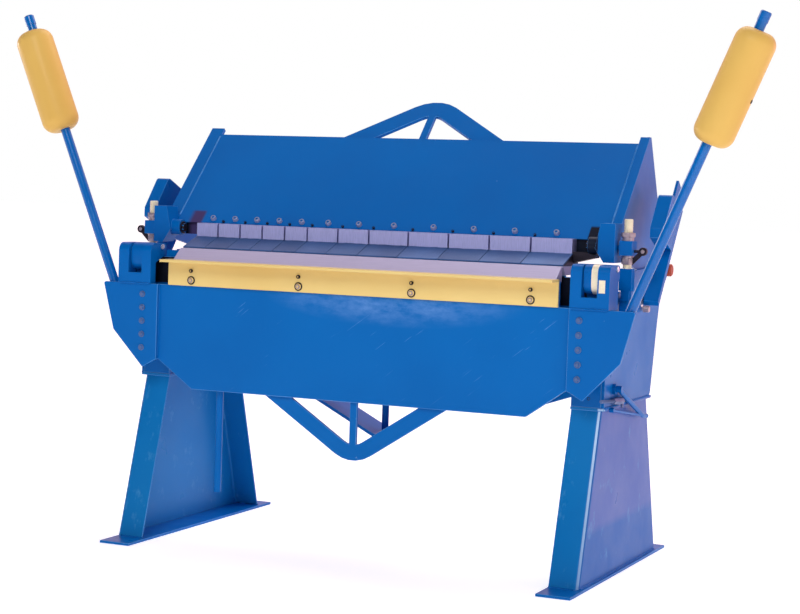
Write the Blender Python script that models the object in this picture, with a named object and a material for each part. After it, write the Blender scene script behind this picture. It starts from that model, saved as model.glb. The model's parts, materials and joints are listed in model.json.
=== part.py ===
"""Box and pan folder: a floor-standing sheet metal bender with twelve removable fingers.

The sizes are metres. X runs along the fingers, Y runs from the operator to the back and
Z is up from the floor. Heights are from the floor and depths are from the clamping line,
which is the front face of the finger shanks. The whole machine hangs on one empty, so
that the middle of its footprint is the world's origin.
"""
import math

import bmesh
import bpy
from mathutils import Vector

# Gaps and the overrun of every cutter
seat_gap = 0.0003
running_gap = 0.0006
overrun = 0.004
face_step = 0.002

# The left end sits further from the middle of the fingers than the right end
left_end_shift = 0.010
left_hinge_shift = 0.022
left_bolt_shift = 0.020
left_strip_spread = 0.005

# Fingers
finger_small_width = 0.0762
finger_middle_width = 0.1016
finger_large_width = 0.127
finger_small_count = 5
finger_middle_count = 2
finger_large_count = 5
finger_seam = 0.0016
finger_shank_relief = 0.0018
finger_shank_depth = 0.040
finger_shank_height = 0.041
finger_heel_height = 0.0347
finger_nose_reach = 0.0785
finger_nose_thickness = 0.0043
finger_bolt_radius = 0.0080
finger_bolt_height = 0.010
finger_bolt_rise = 0.016
set_screw_radius = 0.0036
set_screw_height = 0.005
set_screw_rise = 0.006

# Bed
bed_height = 0.885
bed_half_length = 0.612
bed_nose_depth = 0.1447
bed_nose_front_y = -0.0847
bed_nose_thickness = 0.025
bed_nose_lip = 0.003
bed_web_front_y = -0.066
bed_web_thickness = 0.012
bed_web_bottom_z = 0.560
bed_flange_depth = 0.204
bed_flange_thickness = 0.010
bed_shoulder_z = 0.856
bed_gusset_inner_x = 0.430
bed_gusset_x = 0.545
bed_gusset_z = 0.487
bed_gusset_outer_z = 0.521
bed_leg_inner_x = 0.643
bed_truss_depth = 0.135
bed_truss_front_y = 0.040
bed_truss_thickness = 0.010
bed_truss_apex_z = 0.340
bed_truss_slope = math.radians(26.8)
bed_truss_bend = 0.030
bed_post_radius = 0.0105

# Stands and their base plates
stand_outer_x = 0.7304
stand_width = 0.0868
stand_sheet = 0.006
stand_bend = 0.014
stand_cap = 0.008
stand_foot_front_y = -0.201
stand_foot_back_y = 0.538
stand_top_front_y = -0.0612
stand_top_back_y = 0.3840
base_inner_x = 0.6406
base_outer_x = 0.7412
base_front_y = -0.2975
base_back_y = 0.609
base_thickness = 0.008

# Side plates, which carry the beam's rear pivots and the clamp levers
side_plate_thickness = 0.010
side_plate_bottom_z = 0.496
side_plate_front_top_z = 0.797
side_plate_pad_top_z = 0.818
side_plate_pad_half = 0.032
side_plate_back_bottom_y = 0.378
side_plate_waist_y = 0.422
side_plate_waist_z = 0.698
side_plate_shoulder_y = 0.446
side_plate_shoulder_z = 0.788
side_plate_rear_top_z = 0.872
side_plate_rear_start_y = 0.125
side_plate_corner = 0.018
beam_pivot_y = 0.500
beam_pivot_z = 0.867
beam_pivot_boss = 0.022
beam_pin_radius = 0.012
beam_pin_inner_x = 0.708
pivot_cap_radius = 0.019
pivot_cap_length = 0.018

# Leaf hinge
hinge_y = -0.085
hinge_z = 0.885
hinge_pin_radius = 0.008
hinge_pin_inner_x = 0.652
hinge_block_inner_x = 0.690
hinge_block_outer_x = 0.732
hinge_block_bottom_z = 0.700
hinge_block_waist_y = -0.104
hinge_nose_front_y = -0.138
hinge_nose_bottom_z = 0.815
hinge_nose_corner = 0.030
lug_inner_near_x = 0.656
lug_inner_far_x = 0.688
lug_outer_near_x = 0.734
lug_outer_far_x = 0.769
lug_front_y = -0.150
lug_top_z = 0.896
lug_corner = 0.024
lug_back_y = -0.061
lug_waist_z = 0.838
lug_outer_back_y = -0.070
lug_outer_waist_z = 0.850
lug_foot_depth = 0.030
lug_foot_top_z = 0.806
tongue_inner_x = 0.7003
tongue_outer_x = 0.751
tongue_bottom_z = 0.702
tongue_thickness = 0.0145

# Folding leaf
leaf_front_y = -0.1347
leaf_thickness = 0.012
leaf_top_z = 0.8457
leaf_shoulder_z = 0.774
leaf_shoulder_x = 0.620
leaf_half_length = 0.700
leaf_bottom_z = 0.463
leaf_bottom_half = 0.534
leaf_knee_x = 0.6536
leaf_knee_z = 0.547
leaf_side_bottom_z = 0.582
blade_half_length = 0.6096
blade_land = 0.0067
blade_front_z = 0.850
blade_back_bottom_z = 0.830
blade_back_foot = 0.0225
blade_back_rise = 0.015
angle_half_length = 0.620
angle_sheet = 0.008
angle_height = 0.078
angle_flange = 0.062
angle_bolt_radius = 0.0095
angle_bolt_height = 0.007
angle_bolt_rise = 0.017
jack_screw_radius = 0.005
jack_screw_rise = 0.0455
angle_bolt_half_span = 0.540
angle_bolt_count = 4

# Wings at the leaf's ends
wing_thickness = 0.012
wing_inner_x = 0.654
wing_inner_bottom_z = 0.547
wing_heel_x = 0.702
wing_heel_z = 0.521
wing_knee_x = 0.807
wing_knee_z = 0.630
wing_outer_x = 0.845
wing_corner = 0.006
wing_bolt_x = 0.6855
wing_bolt_top_z = 0.742
wing_bolt_pitch = 0.0406
wing_bolt_count = 5
wing_bolt_radius = 0.0085
wing_bolt_height = 0.006

# Leaf truss
leaf_truss_width = 0.047
leaf_truss_thickness = 0.011
leaf_truss_apex_z = 0.300
leaf_truss_slope = math.radians(33.2)
leaf_truss_half_span = 0.400
leaf_truss_bend = 0.055
leaf_post_width = 0.022
leaf_post_top_z = 0.600

# Counterweight arms and their weights
arm_radius = 0.0142
arm_y = -0.1205
arm_lean = math.radians(22.6)
arm_crossing_x = 0.8225
arm_foot_drop = 0.114
arm_rise = 0.809
arm_cap_length = 0.030
arm_cap_radius = 0.0155
weight_radius = 0.05715
weight_length = 0.325
weight_end = 0.036
weight_flat_radius = 0.024
weight_offset = 0.006
weight_top_margin = 0.052

# Angle stop rod, on the left
stop_rod_x = -0.456
stop_rod_y = -0.098
stop_rod_radius = 0.011
stop_rod_bottom_z = 0.155
stop_pivot_z = 0.640
stop_eye_radius = 0.017
stop_eye_width = 0.014
stop_pin_radius = 0.006
stop_ear_width = 0.006

# Clamping beam
beam_lean = math.radians(43.8)
beam_foot_y = 0.0303
beam_foot_z = 0.9613
beam_slope_length = 0.388
beam_half_length = 0.6977
beam_sheet = 0.012
rail_depth = 0.026
rail_bottom_z = 0.925
rail_top_z = 0.970
end_web_outer_x = 0.7272
end_web_thickness = 0.010
end_strip_rise = 0.028
end_web_front_y = 0.045
end_web_front_bottom_z = 0.912
end_web_top_step = 0.013
end_web_back_y = 0.416
end_web_back_z = 1.095
end_web_heel_y = 0.532
end_web_heel_z = 0.900
end_web_boss = 0.032
end_web_belly_y = 0.300
end_web_belly_z = 0.862
web_bolt_y = 0.264
web_bolt_z = 0.925
web_bolt_radius = 0.011
web_bolt_height = 0.002
beam_truss_width = 0.061
beam_truss_thickness = 0.012
beam_truss_apex = 0.5545
beam_truss_slope = math.radians(35.5)
beam_truss_half_span = 0.610
beam_truss_bend = 0.060
beam_post_width = 0.024
beam_post_foot = 0.120

# Beam end castings
casting_inner_x = 0.680
casting_top_inner_x = 0.695
casting_bottom_inner_x = 0.706
casting_outer_x = 0.738
casting_front_y = -0.020
casting_top_z = 1.009
casting_cheek_z = 0.938
casting_bottom_z = 0.899
casting_boss_x = 0.655
casting_boss_y = 0.014
casting_boss_z = 0.9445
casting_boss_radius = 0.025
casting_bolt_radius = 0.013
casting_bolt_height = 0.008

# Links between the beam and the clamp levers
link_x = 0.7640
link_y = 0.020
link_rod_radius = 0.0127
link_top_rise = 0.0815
swivel_rise = 0.1515
swivel_width = 0.038
swivel_depth = 0.045
swivel_height = 0.041
trunnion_radius = 0.008
trunnion_reach = 0.030
upper_nut_radius = 0.0205
upper_nut_rise = 0.0305
upper_nut_height = 0.013
lower_nut_radius = 0.0175
lower_nut_drop = 0.0455
lower_nut_height = 0.018
collar_radius = 0.0165
link_eye_radius = 0.0225
link_eye_width = 0.026
open_pivot_clearance = 0.0032

# Clamp levers
lever_pivot_y = 0.063
lever_pivot_z = 0.790
lever_shaft_radius = 0.014
crank_radius = 0.046
crank_angle = math.radians(20)
crank_pin_radius = 0.008
crank_inner_x = 0.7785
crank_thickness = 0.020
crank_hub_radius = 0.024
crank_tip_radius = 0.0155
lever_inner_x = 0.803
lever_outer_x = 0.845
lever_lean = math.radians(38)
lever_front_y = 0.063
lever_front_z = 0.795
lever_thickness = 0.016
lever_length = 0.334
lever_heel_drop = 0.004
lever_rib_thickness = 0.008
lever_rib_length = 0.440
lever_rib_depth = 0.070
lever_rib_start = 0.050
lever_rib_slope_end = 0.120
lever_arm_length = 0.121
lever_arm_depth = 0.023
block_seat_start = 0.180
block_seat_end = 0.331
block_low_y = 0.095
block_low_z = 0.972
block_front_z = 1.000
block_peak_y = 0.171
block_peak_z = 1.097
block_corner = 0.016

# Hook rod on the right side plate
hook_y = 0.015
hook_z = 0.545
hook_stub_radius = 0.010
hook_stub_x = 0.766
hook_collar_radius = 0.015
hook_collar_width = 0.008
hook_rod_radius = 0.0075
hook_knee_y = 0.277
hook_knee_z = 0.446
hook_knee_x = 0.750
hook_end_y = 0.316
hook_end_z = 0.441
hook_bend = 0.018
spring_rod_radius = 0.004
spring_rod_y = -0.014
spring_rod_z = 0.488
spring_rod_stud_radius = 0.007

# Rounding of turned forms
head_rim_share = 0.45
head_shoulder_share = 0.8
smooth_limit = math.radians(32)
pin_sides = 20
fine_sides = 24
rod_sides = 16
bolt_sides = 10
nut_sides = 6
arc_steps = 5
hub_steps = 15
boss_steps = 10
quarter_turn = 90
tip_turn = 80
boss_front_turn = -45
boss_back_turn = 140
heel_turn = -100

# Values that follow from the sizes above
finger_span = (finger_small_count * finger_small_width + finger_middle_count * finger_middle_width
               + finger_large_count * finger_large_width)
finger_top_z = bed_height + seat_gap + finger_heel_height + finger_shank_height
bed_nose_back_y = bed_nose_front_y + bed_nose_depth
side_plate_inner_x = stand_outer_x + seat_gap
side_plate_outer_x = side_plate_inner_x + side_plate_thickness
leaf_back_y = leaf_front_y + leaf_thickness
wing_back_y = leaf_front_y - seat_gap
wing_front_y = wing_back_y - wing_thickness
crank_pin_y = lever_pivot_y - crank_radius * math.cos(crank_angle)
crank_pin_z = lever_pivot_z - crank_radius * math.sin(crank_angle)
swivel_z = lever_pivot_z + swivel_rise
link_top_z = swivel_z + link_top_rise
stand_height = side_plate_bottom_z - seat_gap
hinge_pin_outer_x = lug_outer_far_x + overrun
footprint_middle_y = (base_front_y + base_back_y) / 2

# Colours
machine_blue = (0.004, 0.124, 0.440, 1)
weight_yellow = (0.780, 0.520, 0.120, 1)
bright_steel = (0.560, 0.570, 0.640, 1)
tool_slate = (0.130, 0.160, 0.230, 1)
cap_red = (0.420, 0.060, 0.040, 1)


def finish(name, colour, roughness, metallic):
    """A plain material for one sub-part."""
    material = bpy.data.materials.new(name)
    material.use_nodes = True
    shader = material.node_tree.nodes["Principled BSDF"]
    shader.inputs["Base Color"].default_value = colour
    shader.inputs["Roughness"].default_value = roughness
    shader.inputs["Metallic"].default_value = metallic
    material.diffuse_color = colour
    return material


def blue_paint(name):
    """Glossy machine paint."""
    return finish(name, machine_blue, 0.35, 0)


def yellow_paint(name):
    """Warm yellow paint."""
    return finish(name, weight_yellow, 0.4, 0)


def steel(name):
    """Ground or plated bright steel."""
    return finish(name, bright_steel, 0.3, 1)


def skinned(rings, closed=False):
    """A closed mesh over a run of rings with equal counts. Open runs are capped at both ends."""
    form = bmesh.new()
    rows = [[form.verts.new(point) for point in ring] for ring in rings]
    count = len(rows[0])
    following = rows[1:] + rows[:1] if closed else rows[1:]
    for low, high in zip(rows, following):
        for here in range(count):
            after = (here + 1) % count
            form.faces.new((low[here], low[after], high[after], high[here]))
    if not closed:
        form.faces.new(rows[0][::-1])
        form.faces.new(rows[-1])
    bmesh.ops.recalc_face_normals(form, faces=form.faces)
    mesh = bpy.data.meshes.new("shape")
    form.to_mesh(mesh)
    form.free()
    return mesh


def plate(outline, near, far, across="X"):
    """An outline given a thickness along one axis. Its points are on the other two axes in order."""
    at_place = {
        "X": lambda point, place: (place, point[0], point[1]),
        "Y": lambda point, place: (point[0], place, point[1]),
        "Z": lambda point, place: (point[0], point[1], place),
    }[across]
    return skinned([[at_place(point, place) for point in outline] for place in (near, far)])


def block(low, high):
    """A rectangular block between two corners."""
    outline = [(low[0], low[1]), (high[0], low[1]), (high[0], high[1]), (low[0], high[1])]
    return plate(outline, low[2], high[2], "Z")


def ring_points(centre, direction, radius, sides):
    """Points round a circle that faces along a direction."""
    turn = Vector(direction).to_track_quat("Z", "Y")
    steps = [math.tau * (step + 0.5) / sides for step in range(sides)]
    return [Vector(centre) + turn @ Vector((radius * math.cos(a), radius * math.sin(a), 0)) for a in steps]


def turned(start, direction, profile, sides, closed=False):
    """A form turned about an axis from a profile of distances and radii along it."""
    way = Vector(direction).normalized()
    rings = [ring_points(Vector(start) + way * along, way, radius, sides) for along, radius in profile]
    return skinned(rings, closed)


def rod(start, end, radius, sides=pin_sides):
    """A plain round bar between two points."""
    run = Vector(end) - Vector(start)
    return turned(start, run, [(0, radius), (run.length, radius)], sides)


def cross_bar(near_x, far_x, y, z, radius, sides=pin_sides):
    """A round bar that lies along X."""
    return rod((near_x, y, z), (far_x, y, z), radius, sides)


def filleted(points, radii):
    """The outline with an arc at each corner that has a radius."""
    outline = []
    for index, corner in enumerate(points):
        radius = radii.get(index, 0)
        here = Vector(corner)
        if not radius:
            outline.append(corner)
            continue
        before = (Vector(points[index - 1]) - here).normalized()
        after = (Vector(points[(index + 1) % len(points)]) - here).normalized()
        half = before.angle(after) / 2
        centre = here + (before + after).normalized() * radius / math.sin(half)
        first = here + before * radius / math.tan(half) - centre
        last = here + after * radius / math.tan(half) - centre
        begin = math.atan2(first.y, first.x)
        sweep = math.remainder(math.atan2(last.y, last.x) - begin, math.tau)
        for step in range(arc_steps + 1):
            angle = begin + sweep * step / arc_steps
            outline.append((centre.x + radius * math.cos(angle), centre.y + radius * math.sin(angle)))
    return outline


def arc(centre, radius, begin, end, steps):
    """Points along part of a circle, with the angles in degrees from the first axis."""
    angles = [math.radians(begin + (end - begin) * step / steps) for step in range(steps + 1)]
    return [(centre[0] + radius * math.cos(a), centre[1] + radius * math.sin(a)) for a in angles]


def ellipse(width, height, steps):
    """A quarter of an ellipse, from its end on the first axis to its end on the second."""
    angles = [math.radians(quarter_turn * step / steps) for step in range(steps + 1)]
    return [(width * math.cos(a), height * math.sin(a)) for a in angles]


def bent_strap(half_span, apex, slope, width, bend, upward):
    """Outline of a flat bar bent to a wide V, or to a roof shape when it points upward."""
    sign = 1 if upward else -1
    shift = width / 2 / math.cos(slope)
    fall = half_span * math.tan(slope)
    cut = width / 2 * math.sin(slope)
    lean = width / 2 * math.cos(slope)
    outer = [(-half_span - cut, apex - sign * (fall - lean)), (0, apex + sign * shift),
             (half_span + cut, apex - sign * (fall - lean))]
    inner = [(half_span - cut, apex - sign * (fall + lean)), (0, apex - sign * shift),
             (-half_span + cut, apex - sign * (fall + lean))]
    return filleted(outer + inner, {1: bend + width, 4: bend})


def leaned(mesh):
    """Move a mesh from the beam plate's own plane to its place: local Z runs up the slope."""
    for vertex in mesh.vertices:
        across, back, up = vertex.co
        vertex.co = (across,
                     beam_foot_y + back * math.cos(beam_lean) + up * math.sin(beam_lean),
                     beam_foot_z - back * math.sin(beam_lean) + up * math.cos(beam_lean))
    return mesh


def axis_empty(name, location, parent=None, shift=0):
    """An empty on a joint's axis in the clamping line's frame. A shift moves all it holds to the left."""
    empty = bpy.data.objects.new(name, None)
    bpy.context.scene.collection.objects.link(empty)
    empty["place"] = location
    held_at = Vector(parent["place"]) if parent else Vector((0, 0, 0))
    empty.parent = parent
    empty.location = Vector(location) - held_at - Vector((shift, 0, 0))
    return empty


def held(name, mesh, axis):
    """An object whose mesh is in the clamping line's frame, held by an axis."""
    piece = bpy.data.objects.new(name, mesh)
    bpy.context.scene.collection.objects.link(piece)
    piece.parent = axis
    piece.location = -Vector(axis["place"])
    return piece


def tool(piece, mesh, operation, axis):
    """Join a mesh to a piece, or cut it away, through a hidden helper."""
    helper = held(piece.name + "_" + operation.lower(), mesh, axis)
    helper.hide_render = True
    helper.display_type = "WIRE"
    change = piece.modifiers.new(operation.title(), "BOOLEAN")
    change.operation = operation
    change.solver = "EXACT"
    change.object = helper


def made(name, shapes, material, axis, cuts=(), smooth=True):
    """One sub-part: its first shape, with the others joined to it and the cuts taken away."""
    piece = held(name, shapes[0], axis)
    piece.data.name = name
    piece.data.materials.append(material)
    for shape in shapes[1:]:
        tool(piece, shape, "UNION", axis)
    for cut in cuts:
        tool(piece, cut, "DIFFERENCE", axis)
    if smooth:
        piece.data.shade_smooth()
        piece.data.set_sharp_from_angle(angle=smooth_limit)
    return piece


def gathered(shapes):
    """Like fasteners in one mesh, so that one union joins them all to what carries them."""
    form = bmesh.new()
    for shape in shapes:
        form.from_mesh(shape)
    mesh = bpy.data.meshes.new("fasteners")
    form.to_mesh(mesh)
    form.free()
    return mesh


def domed_bolt(place, direction, radius, height):
    """A round-headed bolt's head on a face, with the start of its shank in the metal."""
    profile = [(-overrun, radius), (height * head_rim_share, radius), (height, radius * head_rim_share)]
    return turned(place, direction, profile, bolt_sides)


def side_name(name, side):
    """The name of the left or the right copy of a piece."""
    return name + ("_left" if side < 0 else "_right")


def mirrored(points, side):
    """An outline's points on the left or the right."""
    return [(side * point[0], point[1]) for point in points]


def build_stand(side, axis):
    """A tapered channel, open inward, with a cap plate on top."""
    def section(front, back, height):
        inner = stand_outer_x - stand_width
        web = stand_outer_x - stand_sheet
        outer = filleted([(inner, front), (stand_outer_x, front), (stand_outer_x, back), (inner, back)],
                         {1: stand_bend, 2: stand_bend})
        hollow = filleted([(inner, back - stand_sheet), (web, back - stand_sheet),
                           (web, front + stand_sheet), (inner, front + stand_sheet)],
                          {1: stand_bend - stand_sheet, 2: stand_bend - stand_sheet})
        return [(side * x, y, height) for x, y in outer + hollow]
    foot_z = base_thickness + seat_gap
    neck_z = stand_height - stand_cap / 2
    channel = skinned([section(stand_foot_front_y, stand_foot_back_y, foot_z),
                       section(stand_top_front_y, stand_top_back_y, neck_z)])
    inner = side * (stand_outer_x - stand_width - face_step)
    outer = side * side_plate_outer_x
    cap = block((min(inner, outer), bed_web_front_y, stand_height - stand_cap),
                (max(inner, outer), stand_top_back_y + stand_cap, stand_height))
    name = side_name("stand", side)
    made(name, [channel, cap], blue_paint(name + "_paint"), axis)


def build_base_plate(side, axis):
    """The flat plate under a stand, which rests on the floor."""
    name = side_name("base_plate", side)
    low = (min(side * base_inner_x, side * base_outer_x), base_front_y, 0)
    high = (max(side * base_inner_x, side * base_outer_x), base_back_y, base_thickness)
    made(name, [block(low, high)], blue_paint(name + "_paint"), axis, smooth=False)


def build_side_plate(side, axis):
    """The plate that joins a stand to the bed and carries the beam's pivot and the lever's shaft."""
    saddle_z = side_plate_front_top_z
    pivot = (beam_pivot_y, beam_pivot_z)
    corners = [(bed_web_front_y, side_plate_bottom_z),
               (side_plate_back_bottom_y, side_plate_bottom_z),
               (side_plate_waist_y, side_plate_waist_z),
               (side_plate_shoulder_y, side_plate_shoulder_z)]
    top = [(side_plate_rear_start_y, side_plate_rear_top_z),
           (lever_pivot_y + side_plate_pad_half, side_plate_pad_top_z),
           (lever_pivot_y - side_plate_pad_half, side_plate_pad_top_z),
           (lever_pivot_y - side_plate_pad_half - side_plate_corner, saddle_z),
           (bed_web_front_y, saddle_z)]
    boss = arc(pivot, beam_pivot_boss, boss_front_turn, boss_back_turn, boss_steps)
    outline = filleted(corners, {1: side_plate_corner}) + boss + top
    near = side * side_plate_inner_x
    far = side * side_plate_outer_x
    bore = cross_bar(near - side * overrun, far + side * overrun, *pivot, beam_pin_radius + running_gap)
    name = side_name("side_plate", side)
    made(name, [plate(outline, near, far)], blue_paint(name + "_paint"), axis, [bore])


def build_bed(axis):
    """The fixed bed: a web plate with a bottom flange, the nose bar on top and the truss below."""
    half = [(bed_gusset_inner_x, bed_web_bottom_z), (bed_gusset_x, bed_gusset_z),
            (bed_leg_inner_x, bed_gusset_outer_z), (bed_leg_inner_x, side_plate_bottom_z),
            (stand_outer_x, side_plate_bottom_z), (stand_outer_x, bed_shoulder_z),
            (bed_half_length, bed_shoulder_z), (bed_half_length, bed_height - bed_nose_thickness - seat_gap)]
    outline = half + [(-x - left_end_shift if x > bed_half_length else -x, z) for x, z in half[::-1]]
    back_y = bed_web_front_y + bed_web_thickness
    web = plate(outline, bed_web_front_y, back_y, "Y")
    flange = block((-bed_leg_inner_x - left_end_shift, bed_web_front_y, bed_web_bottom_z),
                   (bed_leg_inner_x, back_y + bed_flange_depth, bed_web_bottom_z + bed_flange_thickness))
    made("bed_web", [web, flange], blue_paint("bed_web_paint"), axis, smooth=False)

    low_z = bed_height - bed_nose_thickness
    profile = [(bed_nose_front_y, bed_height), (bed_nose_back_y, bed_height), (bed_nose_back_y, low_z),
               (bed_nose_front_y + bed_nose_thickness - bed_nose_lip, low_z),
               (bed_nose_front_y, bed_height - bed_nose_lip)]
    nose = plate(profile, -bed_half_length, bed_half_length)
    made("bed_nose_bar", [nose], steel("bed_nose_steel"), axis, smooth=False)

    seat_z = bed_web_bottom_z - seat_gap
    rise = seat_z - bed_truss_apex_z - bed_truss_thickness
    reach = rise / math.tan(bed_truss_slope)
    strap_rise = bed_truss_thickness / math.cos(bed_truss_slope)
    strap_run = bed_truss_thickness / math.sin(bed_truss_slope)
    corners = [(reach, seat_z), (0, seat_z - reach * math.tan(bed_truss_slope)), (-reach, seat_z),
               (-reach - strap_run, seat_z), (0, seat_z - reach * math.tan(bed_truss_slope) - strap_rise),
               (reach + strap_run, seat_z)]
    outline = filleted(corners, {1: bed_truss_bend, 4: bed_truss_bend + bed_truss_thickness})
    strap = plate(outline, bed_truss_front_y, bed_truss_front_y + bed_truss_depth, "Y")
    post_y = bed_truss_front_y + bed_truss_depth / 2
    post = rod((0, post_y, bed_truss_apex_z + bed_truss_thickness), (0, post_y, seat_z), bed_post_radius)
    made("bed_truss", [strap, post], blue_paint("bed_truss_paint"), axis)


def build_frame_hinge(side, axis):
    """The block on the bed's end that the leaf swings on, with a rounded nose between the lugs."""
    near = side * hinge_block_inner_x
    far = side * hinge_block_outer_x
    back_y = bed_web_front_y - seat_gap
    outline = [(back_y, hinge_block_bottom_z), (back_y, lug_top_z), (hinge_nose_front_y, lug_top_z),
               (hinge_nose_front_y, hinge_nose_bottom_z), (hinge_block_waist_y, hinge_nose_bottom_z),
               (hinge_block_waist_y, hinge_block_bottom_z)]
    outline = filleted(outline, {2: lug_corner, 3: hinge_nose_corner})
    bore = cross_bar(near - side * overrun, far + side * overrun, hinge_y, hinge_z,
                     hinge_pin_radius + seat_gap)
    name = side_name("frame_hinge_block", side)
    made(name, [plate(outline, near, far)], blue_paint(name + "_paint"), axis, [bore])


def build_hinge_pin(side, axis):
    """The pin that the leaf turns on, through the lugs and the block between them."""
    name = side_name("hinge_pin", side)
    pin = cross_bar(side * hinge_pin_inner_x, side * hinge_pin_outer_x, hinge_y, hinge_z, hinge_pin_radius)
    made(name, [pin], steel(name + "_steel"), axis)


def build_lever_shaft(side, axis):
    """The stub shaft on the side plate that the clamp lever turns on."""
    name = side_name("lever_shaft", side)
    shaft = cross_bar(side * (side_plate_outer_x + seat_gap), side * (lever_inner_x - overrun),
                      lever_pivot_y, lever_pivot_z, lever_shaft_radius)
    made(name, [shaft], steel(name + "_steel"), axis)


def build_hook_rod(axis):
    """A bent rod on a collared stub, on the right side plate, and the thin rod that meets its end."""
    near = side_plate_outer_x + seat_gap
    stub = cross_bar(near, hook_stub_x, hook_y, hook_z, hook_stub_radius, rod_sides)
    collar = cross_bar(near, near + hook_collar_width, hook_y, hook_z, hook_collar_radius, rod_sides)
    start = Vector((hook_stub_x - hook_stub_radius, hook_y, hook_z))
    knee = Vector((hook_knee_x, hook_knee_y, hook_knee_z))
    end = Vector((hook_knee_x, hook_end_y, hook_end_z))
    before = knee + (start - knee).normalized() * hook_bend
    after = knee + (end - knee).normalized() * hook_bend
    route = [start]
    for step in range(arc_steps + 1):
        share = step / arc_steps
        route.append(before.lerp(knee, share).lerp(knee.lerp(after, share), share))
    route.append(end)
    rings = []
    for index, point in enumerate(route):
        way = route[min(index + 1, len(route) - 1)] - route[max(index - 1, 0)]
        rings.append(ring_points(point, way, hook_rod_radius, rod_sides))
    stud = cross_bar(near, hook_knee_x + overrun, spring_rod_y, spring_rod_z, spring_rod_stud_radius, rod_sides)
    lower = rod((hook_knee_x, spring_rod_y, spring_rod_z), end - (end - knee).normalized() * overrun,
                spring_rod_radius, rod_sides)
    made("hook_rod", [stub, collar, skinned(rings), stud, lower], blue_paint("hook_rod_paint"), axis)


def build_leaf(axis):
    """The apron plate, the hard blade along its top and the angle bar in front."""
    half = [(leaf_bottom_half, leaf_bottom_z), (leaf_knee_x, leaf_knee_z),
            (leaf_half_length, leaf_side_bottom_z), (leaf_half_length, leaf_shoulder_z),
            (leaf_shoulder_x, leaf_shoulder_z), (leaf_shoulder_x, leaf_top_z)]
    apron = plate(half + mirrored(half[::-1], -1), leaf_front_y, leaf_back_y, "Y")
    made("leaf_plate", [apron], blue_paint("leaf_plate_paint"), axis, smooth=False)

    back_y = hinge_y - seat_gap
    top_z = hinge_z - seat_gap
    seat_z = leaf_top_z + seat_gap
    profile = [(back_y, top_z), (back_y - blade_land, top_z), (leaf_front_y, blade_front_z),
               (leaf_front_y, seat_z), (leaf_back_y + seat_gap, seat_z),
               (leaf_back_y + seat_gap, blade_back_bottom_z),
               (leaf_back_y + seat_gap + blade_back_foot, blade_back_bottom_z),
               (back_y, blade_back_bottom_z + blade_back_rise)]
    blade = plate(profile, -blade_half_length, blade_half_length)
    made("leaf_blade", [blade], steel("leaf_blade_steel"), axis, smooth=False)

    back_y = leaf_front_y - seat_gap
    top_z = leaf_shoulder_z + angle_height
    profile = [(back_y, leaf_shoulder_z), (back_y, top_z), (back_y - angle_flange, top_z),
               (back_y - angle_flange, top_z - angle_sheet), (back_y - angle_sheet, top_z - angle_sheet),
               (back_y - angle_sheet, leaf_shoulder_z)]
    bar = plate(profile, -angle_half_length, angle_half_length)
    screws = []
    face_y = back_y - angle_sheet
    for index in range(angle_bolt_count):
        x = angle_bolt_half_span * (2 * index / (angle_bolt_count - 1) - 1)
        screws.append(domed_bolt((x, face_y, leaf_shoulder_z + angle_bolt_rise), (0, -1, 0),
                                 angle_bolt_radius, angle_bolt_height))
        screws.append(domed_bolt((x, face_y, leaf_shoulder_z + jack_screw_rise), (0, -1, 0),
                                 jack_screw_radius, angle_bolt_height))
    made("angle_bar", [bar, gathered(screws)], yellow_paint("angle_bar_paint"), axis)


def build_wing(side, axis):
    """An end plate on the apron's front, with the row of bolts that holds it."""
    outline = [(wing_inner_x, wing_inner_bottom_z), (wing_heel_x, wing_heel_z),
               (wing_knee_x, wing_knee_z), (wing_outer_x, leaf_shoulder_z),
               (wing_inner_x, leaf_shoulder_z)]
    shape = plate(mirrored(filleted(outline, {3: wing_corner}), side), wing_front_y, wing_back_y, "Y")
    bolt_x = side * (wing_bolt_x + (left_bolt_shift if side < 0 else 0))
    bolts = [domed_bolt((bolt_x, wing_front_y, wing_bolt_top_z - index * wing_bolt_pitch),
                        (0, -1, 0), wing_bolt_radius, wing_bolt_height) for index in range(wing_bolt_count)]
    name = side_name("wing", side)
    made(name, [shape, gathered(bolts)], blue_paint(name + "_paint"), axis)


def build_leaf_hinge(side, axis):
    """A casting with two lugs round the hinge pin, a foot between them and a tongue behind the wing."""
    foot_z = leaf_shoulder_z + seat_gap
    foot_back_y = lug_front_y + lug_foot_depth
    ear = hinge_y - lug_back_y
    lugs = []
    for near, far, waist_y, waist_z in (
            (lug_inner_near_x, lug_inner_far_x, foot_back_y, lug_waist_z),
            (lug_outer_near_x, lug_outer_far_x, lug_outer_back_y, lug_outer_waist_z)):
        outline = [(lug_front_y, foot_z), (lug_front_y, lug_top_z), (hinge_y, lug_top_z),
                   (lug_back_y, lug_top_z), (lug_back_y, hinge_z + ear), (waist_y, waist_z),
                   (waist_y, foot_z)]
        outline = filleted(outline, {1: lug_corner, 3: lug_top_z - hinge_z})
        lugs.append(plate(outline, side * near, side * far))
    foot = block((min(side * lug_inner_near_x, side * lug_outer_far_x), lug_front_y, foot_z),
                 (max(side * lug_inner_near_x, side * lug_outer_far_x), foot_back_y, lug_foot_top_z))
    tongue_front_y = wing_back_y + seat_gap
    tongue = block((min(side * tongue_inner_x, side * tongue_outer_x), tongue_front_y, tongue_bottom_z),
                   (max(side * tongue_inner_x, side * tongue_outer_x), tongue_front_y + tongue_thickness,
                    lug_foot_top_z))
    bore = cross_bar(side * (lug_inner_near_x - overrun), side * (lug_outer_far_x + overrun),
                     hinge_y, hinge_z, hinge_pin_radius + running_gap)
    name = side_name("leaf_hinge", side)
    made(name, [foot] + lugs + [tongue], blue_paint(name + "_paint"), axis, [bore])


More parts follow.
